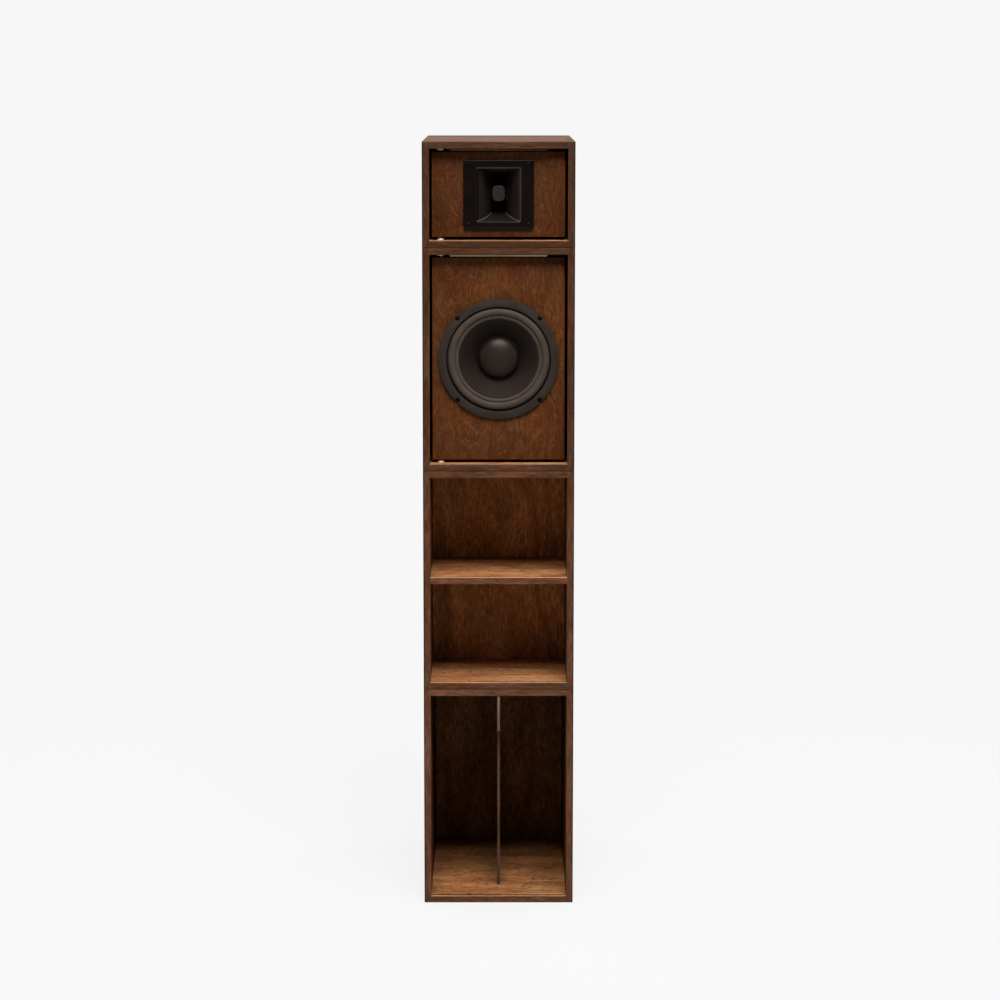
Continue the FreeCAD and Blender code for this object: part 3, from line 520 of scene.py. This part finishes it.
def eased(mesh, width, segments=2):
    """The mesh with a bevel on the edges that are sharper than the facets of a round wall."""
    return shade(applied(mesh, "BEVEL", width=width, segments=segments, limit_method="ANGLE",
                         angle_limit=math.radians(40), use_clamp_overlap=True))


def eased_block(low, high, width):
    """A box between two corners with eased edges."""
    edit = bmesh.new()
    bmesh.ops.create_cube(edit, size=1)
    size, middle = Vector(high) - Vector(low), (Vector(high) + Vector(low)) / 2
    for vertex in edit.verts:
        vertex.co = Vector(vertex.co[i] * size[i] + middle[i] for i in range(3))
    return eased(new_mesh(edit, "block"), width)


def skinned(name, rings, closed=True, capped=False, angle=32):
    """Faces from each ring of points to the next, and from the last to the first or over both ends."""
    edit = bmesh.new()
    loops = [[edit.verts.new(point) for point in ring] for ring in rings]
    if capped:
        edit.faces.new(loops[0])
        edit.faces.new(loops[-1][::-1])
    for near, far in zip(loops, loops[1:] + (loops[:1] if closed else [])):
        for index in range(len(near)):
            edit.faces.new([near[index - 1], near[index], far[index], far[index - 1]])
    bmesh.ops.remove_doubles(edit, verts=edit.verts, dist=weld)
    bmesh.ops.recalc_face_normals(edit, faces=edit.faces)
    return shade(new_mesh(edit, name), angle)


def lathe(profile, origin, axis=Y, segments=96, start=0.0, sweep=360.0):
    """A closed outline of (radius, place along the axis) points, in millimetres, turned about an axis."""
    side = axis.orthogonal().normalized() if axis != Y else X
    whole = sweep >= 360
    rings = []
    for index in range(segments if whole else segments + 1):
        spoke = Quaternion(axis, math.radians(start + sweep * index / segments)) @ side
        rings.append([Vector(origin) + spoke * radius * mm + axis * along * mm for radius, along in profile])
    return skinned("turned", rings, closed=whole)


def rod(radius, length, ease=0.4, bore=0.0):
    """The outline of a round bar or tube that starts at its origin, with eased ends."""
    outside = [(radius - ease, 0), (radius, ease), (radius, length - ease), (radius - ease, length)]
    return outside + ([(bore, length), (bore, 0)] if bore else [(0, length), (0, 0)])


def carved(mesh, tools):
    """The mesh with other meshes cut out of it."""
    edit = bmesh.new()
    for tool in tools:
        edit.from_mesh(tool)
    holder = linked("tools", new_mesh(edit, "tools"))
    result = applied(mesh, "BOOLEAN", object=holder, operation="DIFFERENCE", solver="EXACT", use_self=True)
    bpy.data.objects.remove(holder)
    return result


# Boxes

strip_front = 1.6
ceiling_strips = (("woofer", 2.6, strip_wood), ("horn", 3.3, dark_strip_wood))
lit_level = {"woofer": "woofer_bottom", "disc": "disc_shelf"}
rim = 2 * mm


def box_levels(box):
    """The level boards of a box, lowest first."""
    return [box + "_bottom"] + (["disc_shelf"] if box == "disc" else []) + [box + "_top"]


def slanted(face):
    """Whether a face belongs to an arris of the front."""
    return 0.1 < -face.normal.y < 0.97


def dress_box(box):
    """The sides, levels and back of one box."""
    for hand in ("left", "right"):
        node = box + "_" + hand + "_side"
        mesh = eased_block(*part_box(node), 0.5 * mm)
        board = attach(node + "_board", mesh, wood_of[box, "side"], "cabinet", node)
        recolour(board, end_wood, lambda face: abs(face.normal.z) > 0.9)
    for node in box_levels(box):
        paint(node, wood_of[box, "level"])
    paint(box + "_back", wood_of[box, "back"])


def dress_front(box):
    """The lipping of one box, with painted shade at its joints and outer arrises, and painted light on its
    inner arrises, lit levels and top.
    """
    low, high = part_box(box + "_lipping")

    def at_outside(face):
        return abs(face.center.x) > outer_x - rim or not low.z + rim < face.center.z < high.z - rim

    def is_joint(face):
        return slanted(face) and at_outside(face) and rim < face.center.z < cabinet_high.z - rim

    def is_inner_arris(face):
        return slanted(face) and not at_outside(face)

    piece = attach(box + "_front_frame", front_frame(box), wood_of[box, "upright_edge"], "cabinet",
                   box + "_lipping")
    recolour(piece, wood_of[box, "level_edge"], lambda face: abs(face.center.x) < inner_x)
    # Painted light on the lipping of a lit level board
    if box in lit_level:
        lit_low, lit_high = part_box(lit_level[box])
        recolour(piece, wood_of[box, "lit_edge"], lambda face: abs(face.center.x) < inner_x
                 and lit_low.z - mm < face.center.z < lit_high.z + mm)
    # Painted light on the top face of the lipping
    recolour(piece, lit_top_front_wood, lambda face: face.normal.z > 0.3 and face.center.z > cabinet_high.z - rim)
    # Painted shade in the groove where two boxes meet
    recolour(piece, joint_shade_wood, is_joint)
    # Painted shade on the outer arrises
    recolour(piece, shaded_edge_wood, lambda face: slanted(face) and abs(face.center.x) > outer_x - rim)
    # Painted highlights on the inner arrises
    recolour(piece, side_arris_highlight_wood, lambda face: is_inner_arris(face) and abs(face.normal.x) > 0.2)
    recolour(piece, wood_of[box, "arris"], lambda face: is_inner_arris(face) and face.normal.z > 0.2)


def frame_faces(box, rows):
    """The lipping of one box as square-edged faces that share their corners."""
    columns = [-outer_x, -inner_x, inner_x, outer_x]
    edit = bmesh.new()
    corners = {}

    def corner(column, row, y):
        if (column, row, y) not in corners:
            corners[column, row, y] = edit.verts.new((columns[column], y, rows[row]))
        return corners[column, row, y]

    filled = [(column, row) for column in range(3) for row in range(len(rows) - 1)
              if column != 1 or row % 2 == 0]
    for column, row in filled:
        loop = [(column, row), (column + 1, row), (column + 1, row + 1), (column, row + 1)]
        edit.faces.new([corner(*place, front_y) for place in loop])
        edit.faces.new([corner(*place, core_y) for place in loop[::-1]])
        for near, far, step in zip(loop, loop[1:] + loop[:1], ((0, -1), (1, 0), (0, 1), (-1, 0))):
            if (column + step[0], row + step[1]) not in filled:
                edit.faces.new([corner(*far, front_y), corner(*near, front_y), corner(*near, core_y),
                                corner(*far, core_y)])
    bmesh.ops.recalc_face_normals(edit, faces=edit.faces)
    return edit


def front_frame(box):
    """The lipping of one box as a single mesh, with eased edges round its outside and its openings."""
    rows = sorted(round(corner.z, 6) for node in box_levels(box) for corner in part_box(node))
    rows[0] += joint_gap if rows[0] > joint_gap else 0
    rows[-1] -= joint_gap if rows[-1] < cabinet_high.z - joint_gap else 0
    edit = frame_faces(box, rows)

    def on_outside(edge):
        middle = (edge.verts[0].co + edge.verts[1].co) / 2
        return abs(middle.x) > outer_x - mm or middle.z < rows[0] + mm or middle.z > rows[-1] - mm

    def is_upright(edge):
        return abs(edge.verts[0].co.x - edge.verts[1].co.x) < touching

    def ease(width, segments, test):
        front = [edge for edge in edit.edges
                 if all(abs(vertex.co.y - front_y) < touching for vertex in edge.verts)
                 and edge.calc_face_angle(0) > 1 and test(edge)]
        bmesh.ops.bevel(edit, geom=front, offset=width * mm, segments=segments, profile=0.5, affect="EDGES",
                        clamp_overlap=True)

    ease(0.9, 4, lambda edge: not on_outside(edge))
    ease(1.8, 3, lambda edge: on_outside(edge) and is_upright(edge))
    ease(1.0, 3, lambda edge: on_outside(edge) and not is_upright(edge))
    return shade(new_mesh(edit, "frame"))


for box in boxes:
    dress_box(box)
    dress_front(box)
add_copy("top_board", "horn_top", 0.9, top_wood)
paint("record_bottom", floor_wood)
divider = add_copy("divider_panel", "record_divider", 0.6, divider_wood)
nose_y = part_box("record_divider")[0].y
recolour(divider, divider_edge_wood, lambda face: face.normal.y < -0.3)
# Painted light on the divider's front nose
recolour(divider, lit_nose_wood, lambda face: face.center.y < nose_y + mm)
paint("stacking_dowels", dowel_wood)
add_copy("stop_batten_strips", "stop_battens", 0.5, batten_wood)
strip_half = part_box("stop_battens")[1].x
for box, thick, material in ceiling_strips:
    ceiling_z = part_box(box + "_top")[0].z
    strip = eased_block((-strip_half, front_y + strip_front * mm, ceiling_z - thick * mm),
                        (strip_half, door_y - mm, ceiling_z), 0.3 * mm)
    attach(box + "_ceiling_strip", strip, material, "cabinet", slot=slot_of["stop_battens"])
    door = box + "_door"
    panel = add_copy(door + "_panel", door, 0.5, baffle_wood[door], door)
    # Painted light on the door's chamfer
    recolour(panel, lit_bevel_wood, lambda face: 0.3 < face.normal.x < 0.95 and face.center.y < door_y + 5 * mm)


# Pivots and catches

def solids(node):
    """The boxes of a node's separate solids, each as (lowest corner, highest corner)."""
    edit = opened(node)
    found, left = [], set(edit.verts)
    while left:
        island = [left.pop()]
        for vertex in island:
            near = {edge.other_vert(vertex) for edge in vertex.link_edges} & left
            left -= near
            island += near
        axes = list(zip(*(vertex.co for vertex in island)))
        found.append((Vector(map(min, axes)), Vector(map(max, axes))))
    edit.free()
    return sorted(found, key=lambda pair: tuple(round(pair[0][i], 5) for i in (2, 1, 0)))


def bar_pieces(name, node, material, body, axis, ease=0.4, bore=0.0, segments=32):
    """A round bar in place of each solid of a node, as long and as thick as it."""
    along = list(axis).index(1)
    across = (along + 1) % 3
    for number, (low, high) in enumerate(solids(node)):
        origin = (low + high) / 2
        origin[along] = low[along]
        radius = (high[across] - low[across]) / 2 / mm
        profile = rod(radius, (high[along] - low[along]) / mm, ease, bore)
        attach(f"{name}_{number}", lathe(profile, origin, axis, segments), material, body, node)


flange, sleeve, neck, bore, ease = 3.2, 9.5, 4.0, 2.52, 0.4
for number, (low, high) in enumerate(solids("pivot_bushes")):
    upwards = number % 2 == 0
    radius = (high.x - low.x) / 2 / mm
    origin = (low + high) / 2
    origin.z = high.z - flange * mm if upwards else low.z + flange * mm
    profile = [(neck, -sleeve), (neck, 0), (radius, 0), (radius, flange - ease), (radius - ease, flange),
               (bore, flange), (bore, -sleeve)]
    bush = lathe(profile, origin, Z if upwards else -Z, 48)
    attach(f"bush_{number}", bush, nylon, "cabinet", "pivot_bushes")
for door in ("woofer_door", "horn_door"):
    bar_pieces(door + "_pin", door + "_pins", dark_steel, door, Z, 0.3)
    strike = door.replace("_door", "_strike_disc")
    bar_pieces(strike + "_plate", strike, steel, door, Y, 0.15)
bar_pieces("catch_magnet", "catch_magnets", bright_steel, "cabinet", Y, 0.4)


# Woofer. Outlines are (radius, setback behind the door's face) points, in millimetres.

cone_rim, cone_neck, cone_wall = 68.4, 19.3, 1.1
sheet = 0.5


def cone_front():
    """The cone's front wall, which steepens from its rim to its neck."""
    radii = [cone_rim + (cone_neck - cone_rim) * index / 20 for index in range(21)]
    return [(radius, -1.2 + 0.383 * (cone_rim - radius) + 0.007216 * (cone_rim - radius) ** 2)
            for radius in radii]


def roll_outline():
    """The surround: a lip in the rim's groove, a half roll, and a lip on the cone."""
    angles = [math.pi * index / 16 for index in range(17)]
    middle, reach, crown = 80.8, 5.6, 4.2
    front = [(87.5, -2.0)]
    front += [(middle + reach * math.cos(angle), -2.1 - crown * math.sin(angle) ** 0.9) for angle in angles]
    front += [(74.3, -2.1), (73.6, -2.8), (72.6, -3.1), (70.8, -2.9), (69.4, -2.2), (68.6, -1.4)]
    return front + [(radius, setback + sheet) for radius, setback in front[::-1]]


def spider_outline():
    """The spider: flat feet and a run of ripples between them."""
    outer, inner, ripples, ripple_start, ripple_end = 56.5, 19.7, 6, 52.5, 23.5
    front = []
    for radius in (outer + (inner - outer) * index / 72 for index in range(73)):
        share = min(max((ripple_start - radius) / (ripple_start - ripple_end), 0), 1)
        swell = min(1, 6 * share, 6 - 6 * share)
        front.append((radius, 49.1 - 1.1 * math.sin(share * ripples * 2 * math.pi) * swell))
    return front + [(radius, setback + sheet) for radius, setback in front[::-1]]


def ring_sectors(name, outline, material, node, sectors=16):
    """A flexible ring in sectors, between the basket and the cone."""
    for number in range(sectors):
        start, sweep = 360 * number / sectors, 360 / sectors
        mesh = lathe(outline, woofer_axis, Y, 8, start, sweep)
        round_normals(mesh, outline)
        piece = linked(f"{name}_{number}", mesh)
        mesh.materials.append(material)
        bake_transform(piece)
        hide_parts(node)


def round_normals(mesh, outline):
    """Normals that run on from one sector to the next, worked out from the whole ring."""
    whole = lathe(outline, woofer_axis, Y, 128)
    lookup = {tuple(round(v, 5) for v in vertex.co): vertex.normal.copy() for vertex in whole.vertices}
    normals = [lookup.get(tuple(round(v, 5) for v in vertex.co), vertex.normal) for vertex in mesh.vertices]
    for polygon in mesh.polygons:
        polygon.use_smooth = True
    mesh.normals_split_custom_set_from_vertices(normals)
    bpy.data.meshes.remove(whole)


def add_turned(name, profile, material, body, *nodes, segments=96, slot=None):
    """A turned piece on the woofer's axis."""
    mesh = lathe(profile, woofer_axis, segments=segments)
    return attach(name, mesh, material, body, *nodes, slot=slot)


notch_reach, ledge_setback, ledge_radius = 5.6 * mm, 4.9 * mm, 91 * mm
notches = [(low + high) / 2 for low, high in solids("woofer_screws")]


def in_notch(face):
    """Whether a face of the basket is in one of its screw notches."""
    return face.center.y < door_y and any(
        math.hypot(face.center.x - notch.x, face.center.z - notch.z) < notch_reach for notch in notches)


basket = add_copy("basket_casting", "woofer_basket", 0.6, basket_paint, "woofer_door")
# Painted shade in the screw notches and on the ledge in the groove round the surround
recolour(basket, painted_shade_black, in_notch)
recolour(basket, painted_shade_black, lambda face: door_y - ledge_setback < face.center.y < door_y
         and (face.center - woofer_axis).length < ledge_radius)
wall = cone_front()
cone_back = [(radius, setback + cone_wall) for radius, setback in wall[::-1]]
cone_profile = [(71.4, -1.1), *wall, *cone_back, (71.4, 0)]
add_turned("cone_wall", cone_profile, paper_material(), "woofer_cone", "woofer_cone", segments=128)
ring_sectors("surround_roll", roll_outline(), surround_rubber, "woofer_surround")
ring_sectors("spider_ring", spider_outline(), cloth_material(), "woofer_spider")

cap_radius, cap_height, cap_seat, cap_wall = 36.7, 16.6, 18.0, 0.8
dome = [(cap_radius * math.cos(angle), cap_seat - cap_height * (1 - math.cos(angle) ** 2.3) ** 0.6)
        for angle in (math.pi / 2 * index / 20 for index in range(21))]
cap_profile = [(38.4, 17.6), (37.6, 16.9), *dome[1:], (0, dome[-1][1] + cap_wall), (35.5, 18.4), (37.2, 18.3)]
add_turned("dust_cap_dome", cap_profile, cap_material(), "woofer_cone", "woofer_dust_cap")
add_turned("coil_former", [(18.9, 33), (19.3, 33), (19.3, 78), (18.9, 78)], foil, "woofer_cone",
           "woofer_voice_coil", segments=64)
coil_wire = winding_material("voice_coil_winding", along_y, 0.5 * mm)
add_turned("coil_winding", [(19.3, 64), (20.2, 64.2), (20.2, 77.8), (19.3, 78)], coil_wire, "woofer_cone",
           "woofer_voice_coil", segments=64, slot="coil_copper")


def plate_outline(node, bore, ease=0.6):
    """The outline of a motor part, from its node's size."""
    low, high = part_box(node)
    radius = (high.z - low.z) / 2 / mm
    front, back = (low.y - door_y) / mm, (high.y - door_y) / mm
    return [(bore, front), (radius - ease, front), (radius, front + ease), (radius, back - ease),
            (radius - ease, back), (bore, back)]


for node, bore, material in (("woofer_top_plate", 20.9, steel), ("woofer_magnet", 30.0, ferrite)):
    add_turned(node + "_ring", plate_outline(node, bore), material, "woofer_door", node)
pole_back = (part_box("woofer_pole_piece")[1].y - door_y) / mm
pole_profile = [(0, 68), (17.6, 68), (18.2, 68.6), (18.2, pole_back - 6), (49.4, pole_back - 6),
                (50, pole_back - 5.4), (50, pole_back - 0.6), (49.4, pole_back), (6, pole_back),
                (5.5, pole_back - 0.5), (5.5, pole_back - 4), (0, pole_back - 4)]
add_turned("pole_and_plate", pole_profile, steel, "woofer_door", "woofer_pole_piece")


# Screws

def screw_mesh(origin, towards, head_radius, head_height):
    """A pan head with a cross recess, on its seat."""
    dome_points = [(head_radius * math.cos(angle), head_height * (0.45 + 0.55 * math.sin(angle)))
                   for angle in (math.pi / 2 * index / 6 for index in range(7))]
    profile = [(head_radius, 0)] + dome_points[:-1] + [(0, head_height), (0, 0)]
    head = lathe(profile, origin, towards, 28)
    recess = bmesh.new()
    slot, reach, deep = 0.17 * head_radius, 0.62 * head_radius, 0.55 * head_height
    for along, across in ((X, towards.cross(X)), (towards.cross(X), X)):
        for vertex in bmesh.ops.create_cube(recess, size=1)["verts"]:
            local = vertex.co.copy()
            vertex.co = (Vector(origin) + along * local.x * 2 * reach * mm + across * local.y * 2 * slot * mm
                         + towards * (head_height - deep + (local.z + 0.5) * 2 * deep) * mm)
    bmesh.ops.recalc_face_normals(recess, faces=recess.faces)
    return shade(carved(head, [new_mesh(recess, "recess")]))


driver_head_height = 2.2
for node, body, seat in (("woofer_screws", "woofer_door", 1.5), ("horn_screws", "horn_door", 2.0)):
    for number, (low, high) in enumerate(solids(node)):
        place = (low + high) / 2
        place.y = door_y - seat * mm
        head = screw_mesh(place, -Y, (high.z - low.z) / 2 / mm, driver_head_height)
        attach(f"{node}_{number}", head, screw_black, body, node)


# Horn. Setbacks are measured from the flange's face, in millimetres.

flange_height, flare_depth, slot_setback, horn_wall = 4, 70, 67.4, 2.5
flare_x, flare_z = (36.7, 21.5, 11.0), (44.8, 39.3, 31.0)
flare_setbacks = (-4.0, 26.0, 66.0)
horn_drop, horn_crease_angle = 1.0, 28


def rounded_rectangle(half_x, half_z, radius, y, centre_z=horn_axis.z, corner_steps=6):
    """Points round a rectangle with rounded corners, always as many and in the same order."""
    points = []
    for corner, (sign_x, sign_z) in enumerate(corner_signs):
        for index in range(corner_steps + 1):
            angle = math.radians(90 * corner + 90 * index / corner_steps)
            point = Vector((sign_x * (half_x - radius) * mm + radius * mm * math.cos(angle), y,
                            sign_z * (half_z - radius) * mm + radius * mm * math.sin(angle)))
            points.append(point + Vector((0, 0, centre_z)))
    return points


def flank(sizes, share):
    """Half size along the flare, on a smooth curve through its mouth, its middle and its slot."""
    setback = flare_setbacks[0] + flare_depth * share
    total = 0.0
    for index, value in enumerate(sizes):
        term = value
        for other in range(3):
            if other != index:
                term *= (setback - flare_setbacks[other]) / (flare_setbacks[index] - flare_setbacks[other])
        total += term
    return total


def horn_mesh():
    """The moulded horn, ring by ring: flange, lip, flare, slot floor and the outside of the shell."""
    half = (horn_high - horn_low).x / 2 / mm
    tall = half - 1
    face = door_y - flange_height * mm

    def ring(half_x, half_z, radius, y):
        return rounded_rectangle(half_x, half_z, radius, y, horn_axis.z - horn_drop * mm)

    rings = [ring(half, tall, 5, door_y), ring(half, tall, 5, face + 0.9 * mm),
             ring(half - 0.3, tall - 0.3, 4.7, face + 0.3 * mm), ring(half - 0.9, tall - 0.9, 4.1, face)]
    outside = []
    for index in range(25):
        share = index / 24
        half_x, half_z = flank(flare_x, share), flank(flare_z, share)
        y = face + flare_depth * mm * share
        if share == 0:
            for out, back in ((1.8, 0), (1.1, 0.15), (0.6, 0.45), (0.2, 1.0), (0, 1.7)):
                rings.append(ring(half_x + out, half_z + out, 1.2 + out, y + back * mm))
        else:
            rings.append(ring(half_x, half_z, 1.2, min(y, face + slot_setback * mm)))
        outside.append(ring(half_x + horn_wall, half_z + horn_wall, 3.0, max(y, door_y)))
    throat = [ring(10.7, 13.4, 7.5, face + depth * mm) for depth in (67.5, flare_depth)]
    return skinned("horn", rings + throat + outside[::-1], angle=horn_crease_angle)


def horn_zone(face):
    """Which part of the mouth a face is on: a side of its lip, or a part of the flare."""
    point = face.center
    setback = (point.y - door_y) / mm + flange_height
    half_x, half_z = flank(flare_x, setback / flare_depth), flank(flare_z, setback / flare_depth)
    across, upwards = abs(point.x) / mm, (point.z - horn_axis.z) / mm + horn_drop
    if 0.05 < setback < 1.8 and across < flare_x[0] + 2.2 and abs(upwards) < flare_z[0] + 2.2:
        if abs(upwards) > flare_z[0] - 0.4:
            return "top" if upwards > 0 else "low"
        return "right" if point.x > 0 else "left"
    if 1.8 <= setback < 7 and point.x < 0 and abs(upwards) < half_z - 1.3:
        return "left"
    if not 1.8 <= setback < 62 or across > half_x + 1 or abs(upwards) > half_z + 1:
        return "outside"
    if upwards < 1.0 - half_z:
        return "crease" if across > half_x - 1.0 else "floor"
    return "wall"


def screw_seat(low, high):
    """What a screw's head needs cut out of the flange."""
    origin = (low + high) / 2
    origin.y = door_y - 6 * mm
    return lathe(rod(3.9, 4, 0.01), origin, segments=32)


seats = [screw_seat(low, high) for low, high in solids("horn_screws")]
moulding = shade(carved(horn_mesh(), seats), horn_crease_angle)
horn = attach("horn_moulding", moulding, horn_plastic, "horn_door", "horn_flare")
# Painted light and shade on the mouth, zone by zone
for zone, material in painted_light_plastic.items():
    recolour(horn, material, lambda face: horn_zone(face) == zone)
# Painted shade deep in the horn's slot
recolour(horn, painted_shade_black, lambda face: door_y + 57 * mm < face.center.y < door_y + 65 * mm
         and abs(face.center.x) < 12.5 * mm)
screen_rings = [rounded_rectangle(11.4, 14.1, 8, corner.y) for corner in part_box("throat_mesh")]
screen = skinned("screen", screen_rings, closed=False, capped=True)
attach("throat_screen", screen, mesh_material(), "horn_door", "throat_mesh")
throat_plate = [(14, 70), (31.5, 70), (32, 70.5), (32, 73.5), (31.5, 74), (13, 74), (13, 70)]
attach("throat_flange", lathe(throat_plate, horn_axis, segments=64), horn_plastic, "horn_door", "horn_flare")


def rear_cap(radius, length):
    """The driver's rear cap, with a stepped rounding and a shallow recess."""
    return [(0, 0), (radius, 0), (radius, length - 3.4), (radius - 1, length - 1), (radius - 3.4, length),
            (radius - 9, length), (radius - 9.6, length - 0.6), (0, length - 0.6)]


for number, (low, high) in enumerate(sorted(solids("horn_driver_housing"), key=lambda pair: pair[0].y)):
    radius, length = (high.z - low.z) / 2 / mm, (high.y - low.y) / mm
    is_front = number == 0
    profile = rod(radius, length, 0.6) if is_front else rear_cap(radius, length)
    shell = lathe(profile, Vector((0, low.y, horn_axis.z)), segments=96)
    material = steel if is_front else black_plastic
    attach(f"driver_shell_{number}", shell, material, "horn_door", "horn_driver_housing")
bar_pieces("driver_magnet", "horn_magnet", ferrite, "horn_door", Y, 0.8, segments=96)


# Terminals at the rear, and the crossover

add_copy("terminal_cup_mouldings", "terminal_cups", 0.7, black_plastic, segments=3)
bar_pieces("socket", "terminal_sockets", brass, "cabinet", Y, 0.3, bore=2.0, segments=36)
flute_depth, flute_count, flute_start = 0.35, 18, 5.5
cup_screw_inset, cup_head_radius, cup_head_height = 6.0, 2.6, 1.5


def collar_mesh(low, high):
    """A grip ring with flutes round it."""
    centre = (low + high) / 2
    mesh = lathe([(3.5, 0), (5.2, 0), (5.9, 0.7), (5.9, 9.3), (5.2, 10), (3.5, 10)],
                 Vector((centre.x, low.y, centre.z)), Y, 72)
    for vertex in mesh.vertices:
        away = Vector((vertex.co.x - centre.x, 0, vertex.co.z - centre.z))
        if away.length > flute_start * mm:
            wave = 0.5 + 0.5 * math.cos(flute_count * math.atan2(away.z, away.x))
            vertex.co -= away.normalized() * flute_depth * mm * wave
    return shade(mesh, 50)


for node, material in (("red_collars", red_plastic), ("black_collars", black_plastic)):
    for number, (low, high) in enumerate(solids(node)):
        attach(f"{node}_{number}", collar_mesh(low, high), material, "cabinet", node)
for number, (low, high) in enumerate(solids("terminal_cups")):
    middle, half = (low + high) / 2, (high - low) / 2
    for corner, (sign_x, sign_z) in enumerate(((-1, -1), (-1, 1), (1, -1), (1, 1))):
        place = Vector((middle.x + sign_x * (half.x - cup_screw_inset * mm), high.y,
                        middle.z + sign_z * (half.z - cup_screw_inset * mm)))
        head = screw_mesh(place, Y, cup_head_radius, cup_head_height)
        attach(f"cup_screw_{number}_{corner}", head, screw_black, "cabinet", slot="black_screw")
add_copy("crossover_carrier", "crossover_board", 0.4, fibreboard_material())
coil_low, coil_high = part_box("crossover_coil")
coil_centre = (coil_low + coil_high) / 2
coil_centre.z = coil_low.z
choke = lathe([(11, 0), (23, 0), (23, 22), (11, 22)], coil_centre, Z, 72)
choke_wire = winding_material("copper_winding", along_z, 1.1 * mm)
attach("choke_winding", choke, choke_wire, "cabinet", "crossover_coil")
bar_pieces("capacitor", "crossover_capacitors", film_yellow, "cabinet", X, 1.2, segments=48)


# Floor and studio

def studio_floor():
    """A pale floor: nearly white to the eye, with a soft shadow, and plain grey to other light."""
    graph = Graph("pale_floor").set(Roughness=1.0, Specular_IOR_Level=0.0)
    seen = graph.add("LightPath", {}, "Is Camera Ray")
    graph.colour(graph.mix(seen, (0.38, 0.37, 0.36), (0.85, 0.85, 0.85)))
    distance = graph.vector("LENGTH", graph.coordinates(), output="Value")
    away = graph.add("MapRange", {"Value": distance, "From Min": 0.3, "From Max": 1.6, "To Min": 0.88})
    glow = graph.add("Emission", {"Color": (0.93, 0.93, 0.93, 1)})
    share = graph.math("MULTIPLY", seen, away)
    surface = graph.add("MixShader", {0: share, 1: graph.shader.outputs[0], 2: glow})
    return graph.put(graph.tree.nodes["Material Output"], {"Surface": surface}).owner


def studio_world():
    """A white backdrop all round for the camera, and behind the object for gloss, in a dim room."""
    graph = Graph("studio", "worlds", "Background")
    depth = graph.add("SeparateXYZ", {"Vector": graph.add("TexCoord", {}, "Generated")}, "Y")
    behind = graph.add("MapRange", {"Value": depth, "From Min": -0.15, "From Max": 0.35},
                       interpolation_type="SMOOTHSTEP")
    glossy, clear, camera_ray = (graph.add("LightPath", {}, f"Is {kind} Ray")
                                 for kind in ("Glossy", "Transmission", "Camera"))
    seen = graph.math("MULTIPLY", graph.math("MAXIMUM", glossy, clear), behind)
    seen = graph.math("MAXIMUM", seen, camera_ray)
    room = graph.math("MULTIPLY_ADD", behind, 0.40, 0.08)
    level = graph.math("MULTIPLY_ADD", graph.math("SUBTRACT", 0.93, room), seen, room)
    return graph.put(graph.shader, {"Color": level}).owner


def softbox(name, place, target, width, height, power, tint=(1, 1, 1)):
    """A rectangular light aimed at a point."""
    light = bpy.data.lights.new(name, "AREA")
    light.shape = "RECTANGLE"
    light.size, light.size_y = width, height
    light.energy = power
    light.color = tint
    holder = linked(name, light)
    holder.location = place
    holder.rotation_euler = (Vector(target) - Vector(place)).to_track_quat("-Z", "Y").to_euler()


floor_reach, floor_z = 40, -1 * mm
floor_mesh = bpy.data.meshes.new("floor")
floor_corners = [(sign_x * floor_reach, sign_y * floor_reach, floor_z) for sign_x, sign_y in corner_signs]
floor_mesh.from_pydata(floor_corners, [], [(0, 1, 2, 3)])
floor_mesh.materials.append(studio_floor())
linked("floor", floor_mesh)
scene.world = studio_world()
warm = (1, 0.97, 0.93)
softbox("key", (0.28, -2.5, 4.75), (0, -0.1, 0.7), 2.6, 2.6, 280, warm)
softbox("left", (-3.0, -1.5, 1.7), (0, -0.2, 0.8), 0.8, 1.8, 10, warm)
softbox("right", (3.2, -1.4, 1.7), (0, -0.2, 0.8), 1.4, 1.8, 18, warm)
for name, side in (("left_rear", -1), ("right_rear", 1)):
    softbox(name, (side * 2.7, 1.3, 0.8), (0, 0, 0.7), 1.2, 1.2, 45)

# Camera, fitted to the edges of the boxes in the photograph
camera = bpy.data.cameras.new("camera")
camera.lens = 97.555
camera.shift_x = 0.0014
camera.shift_y = -0.0417
camera_distance, camera_height, camera_tilt = 4.6, 1.4545, 8.2403
viewer = linked("camera", camera)
viewer.location = (0, front_y - camera_distance, camera_height)
viewer.rotation_euler = (math.radians(90 - camera_tilt), 0, 0)
scene.camera = viewer
scene.view_settings.view_transform = "Standard"
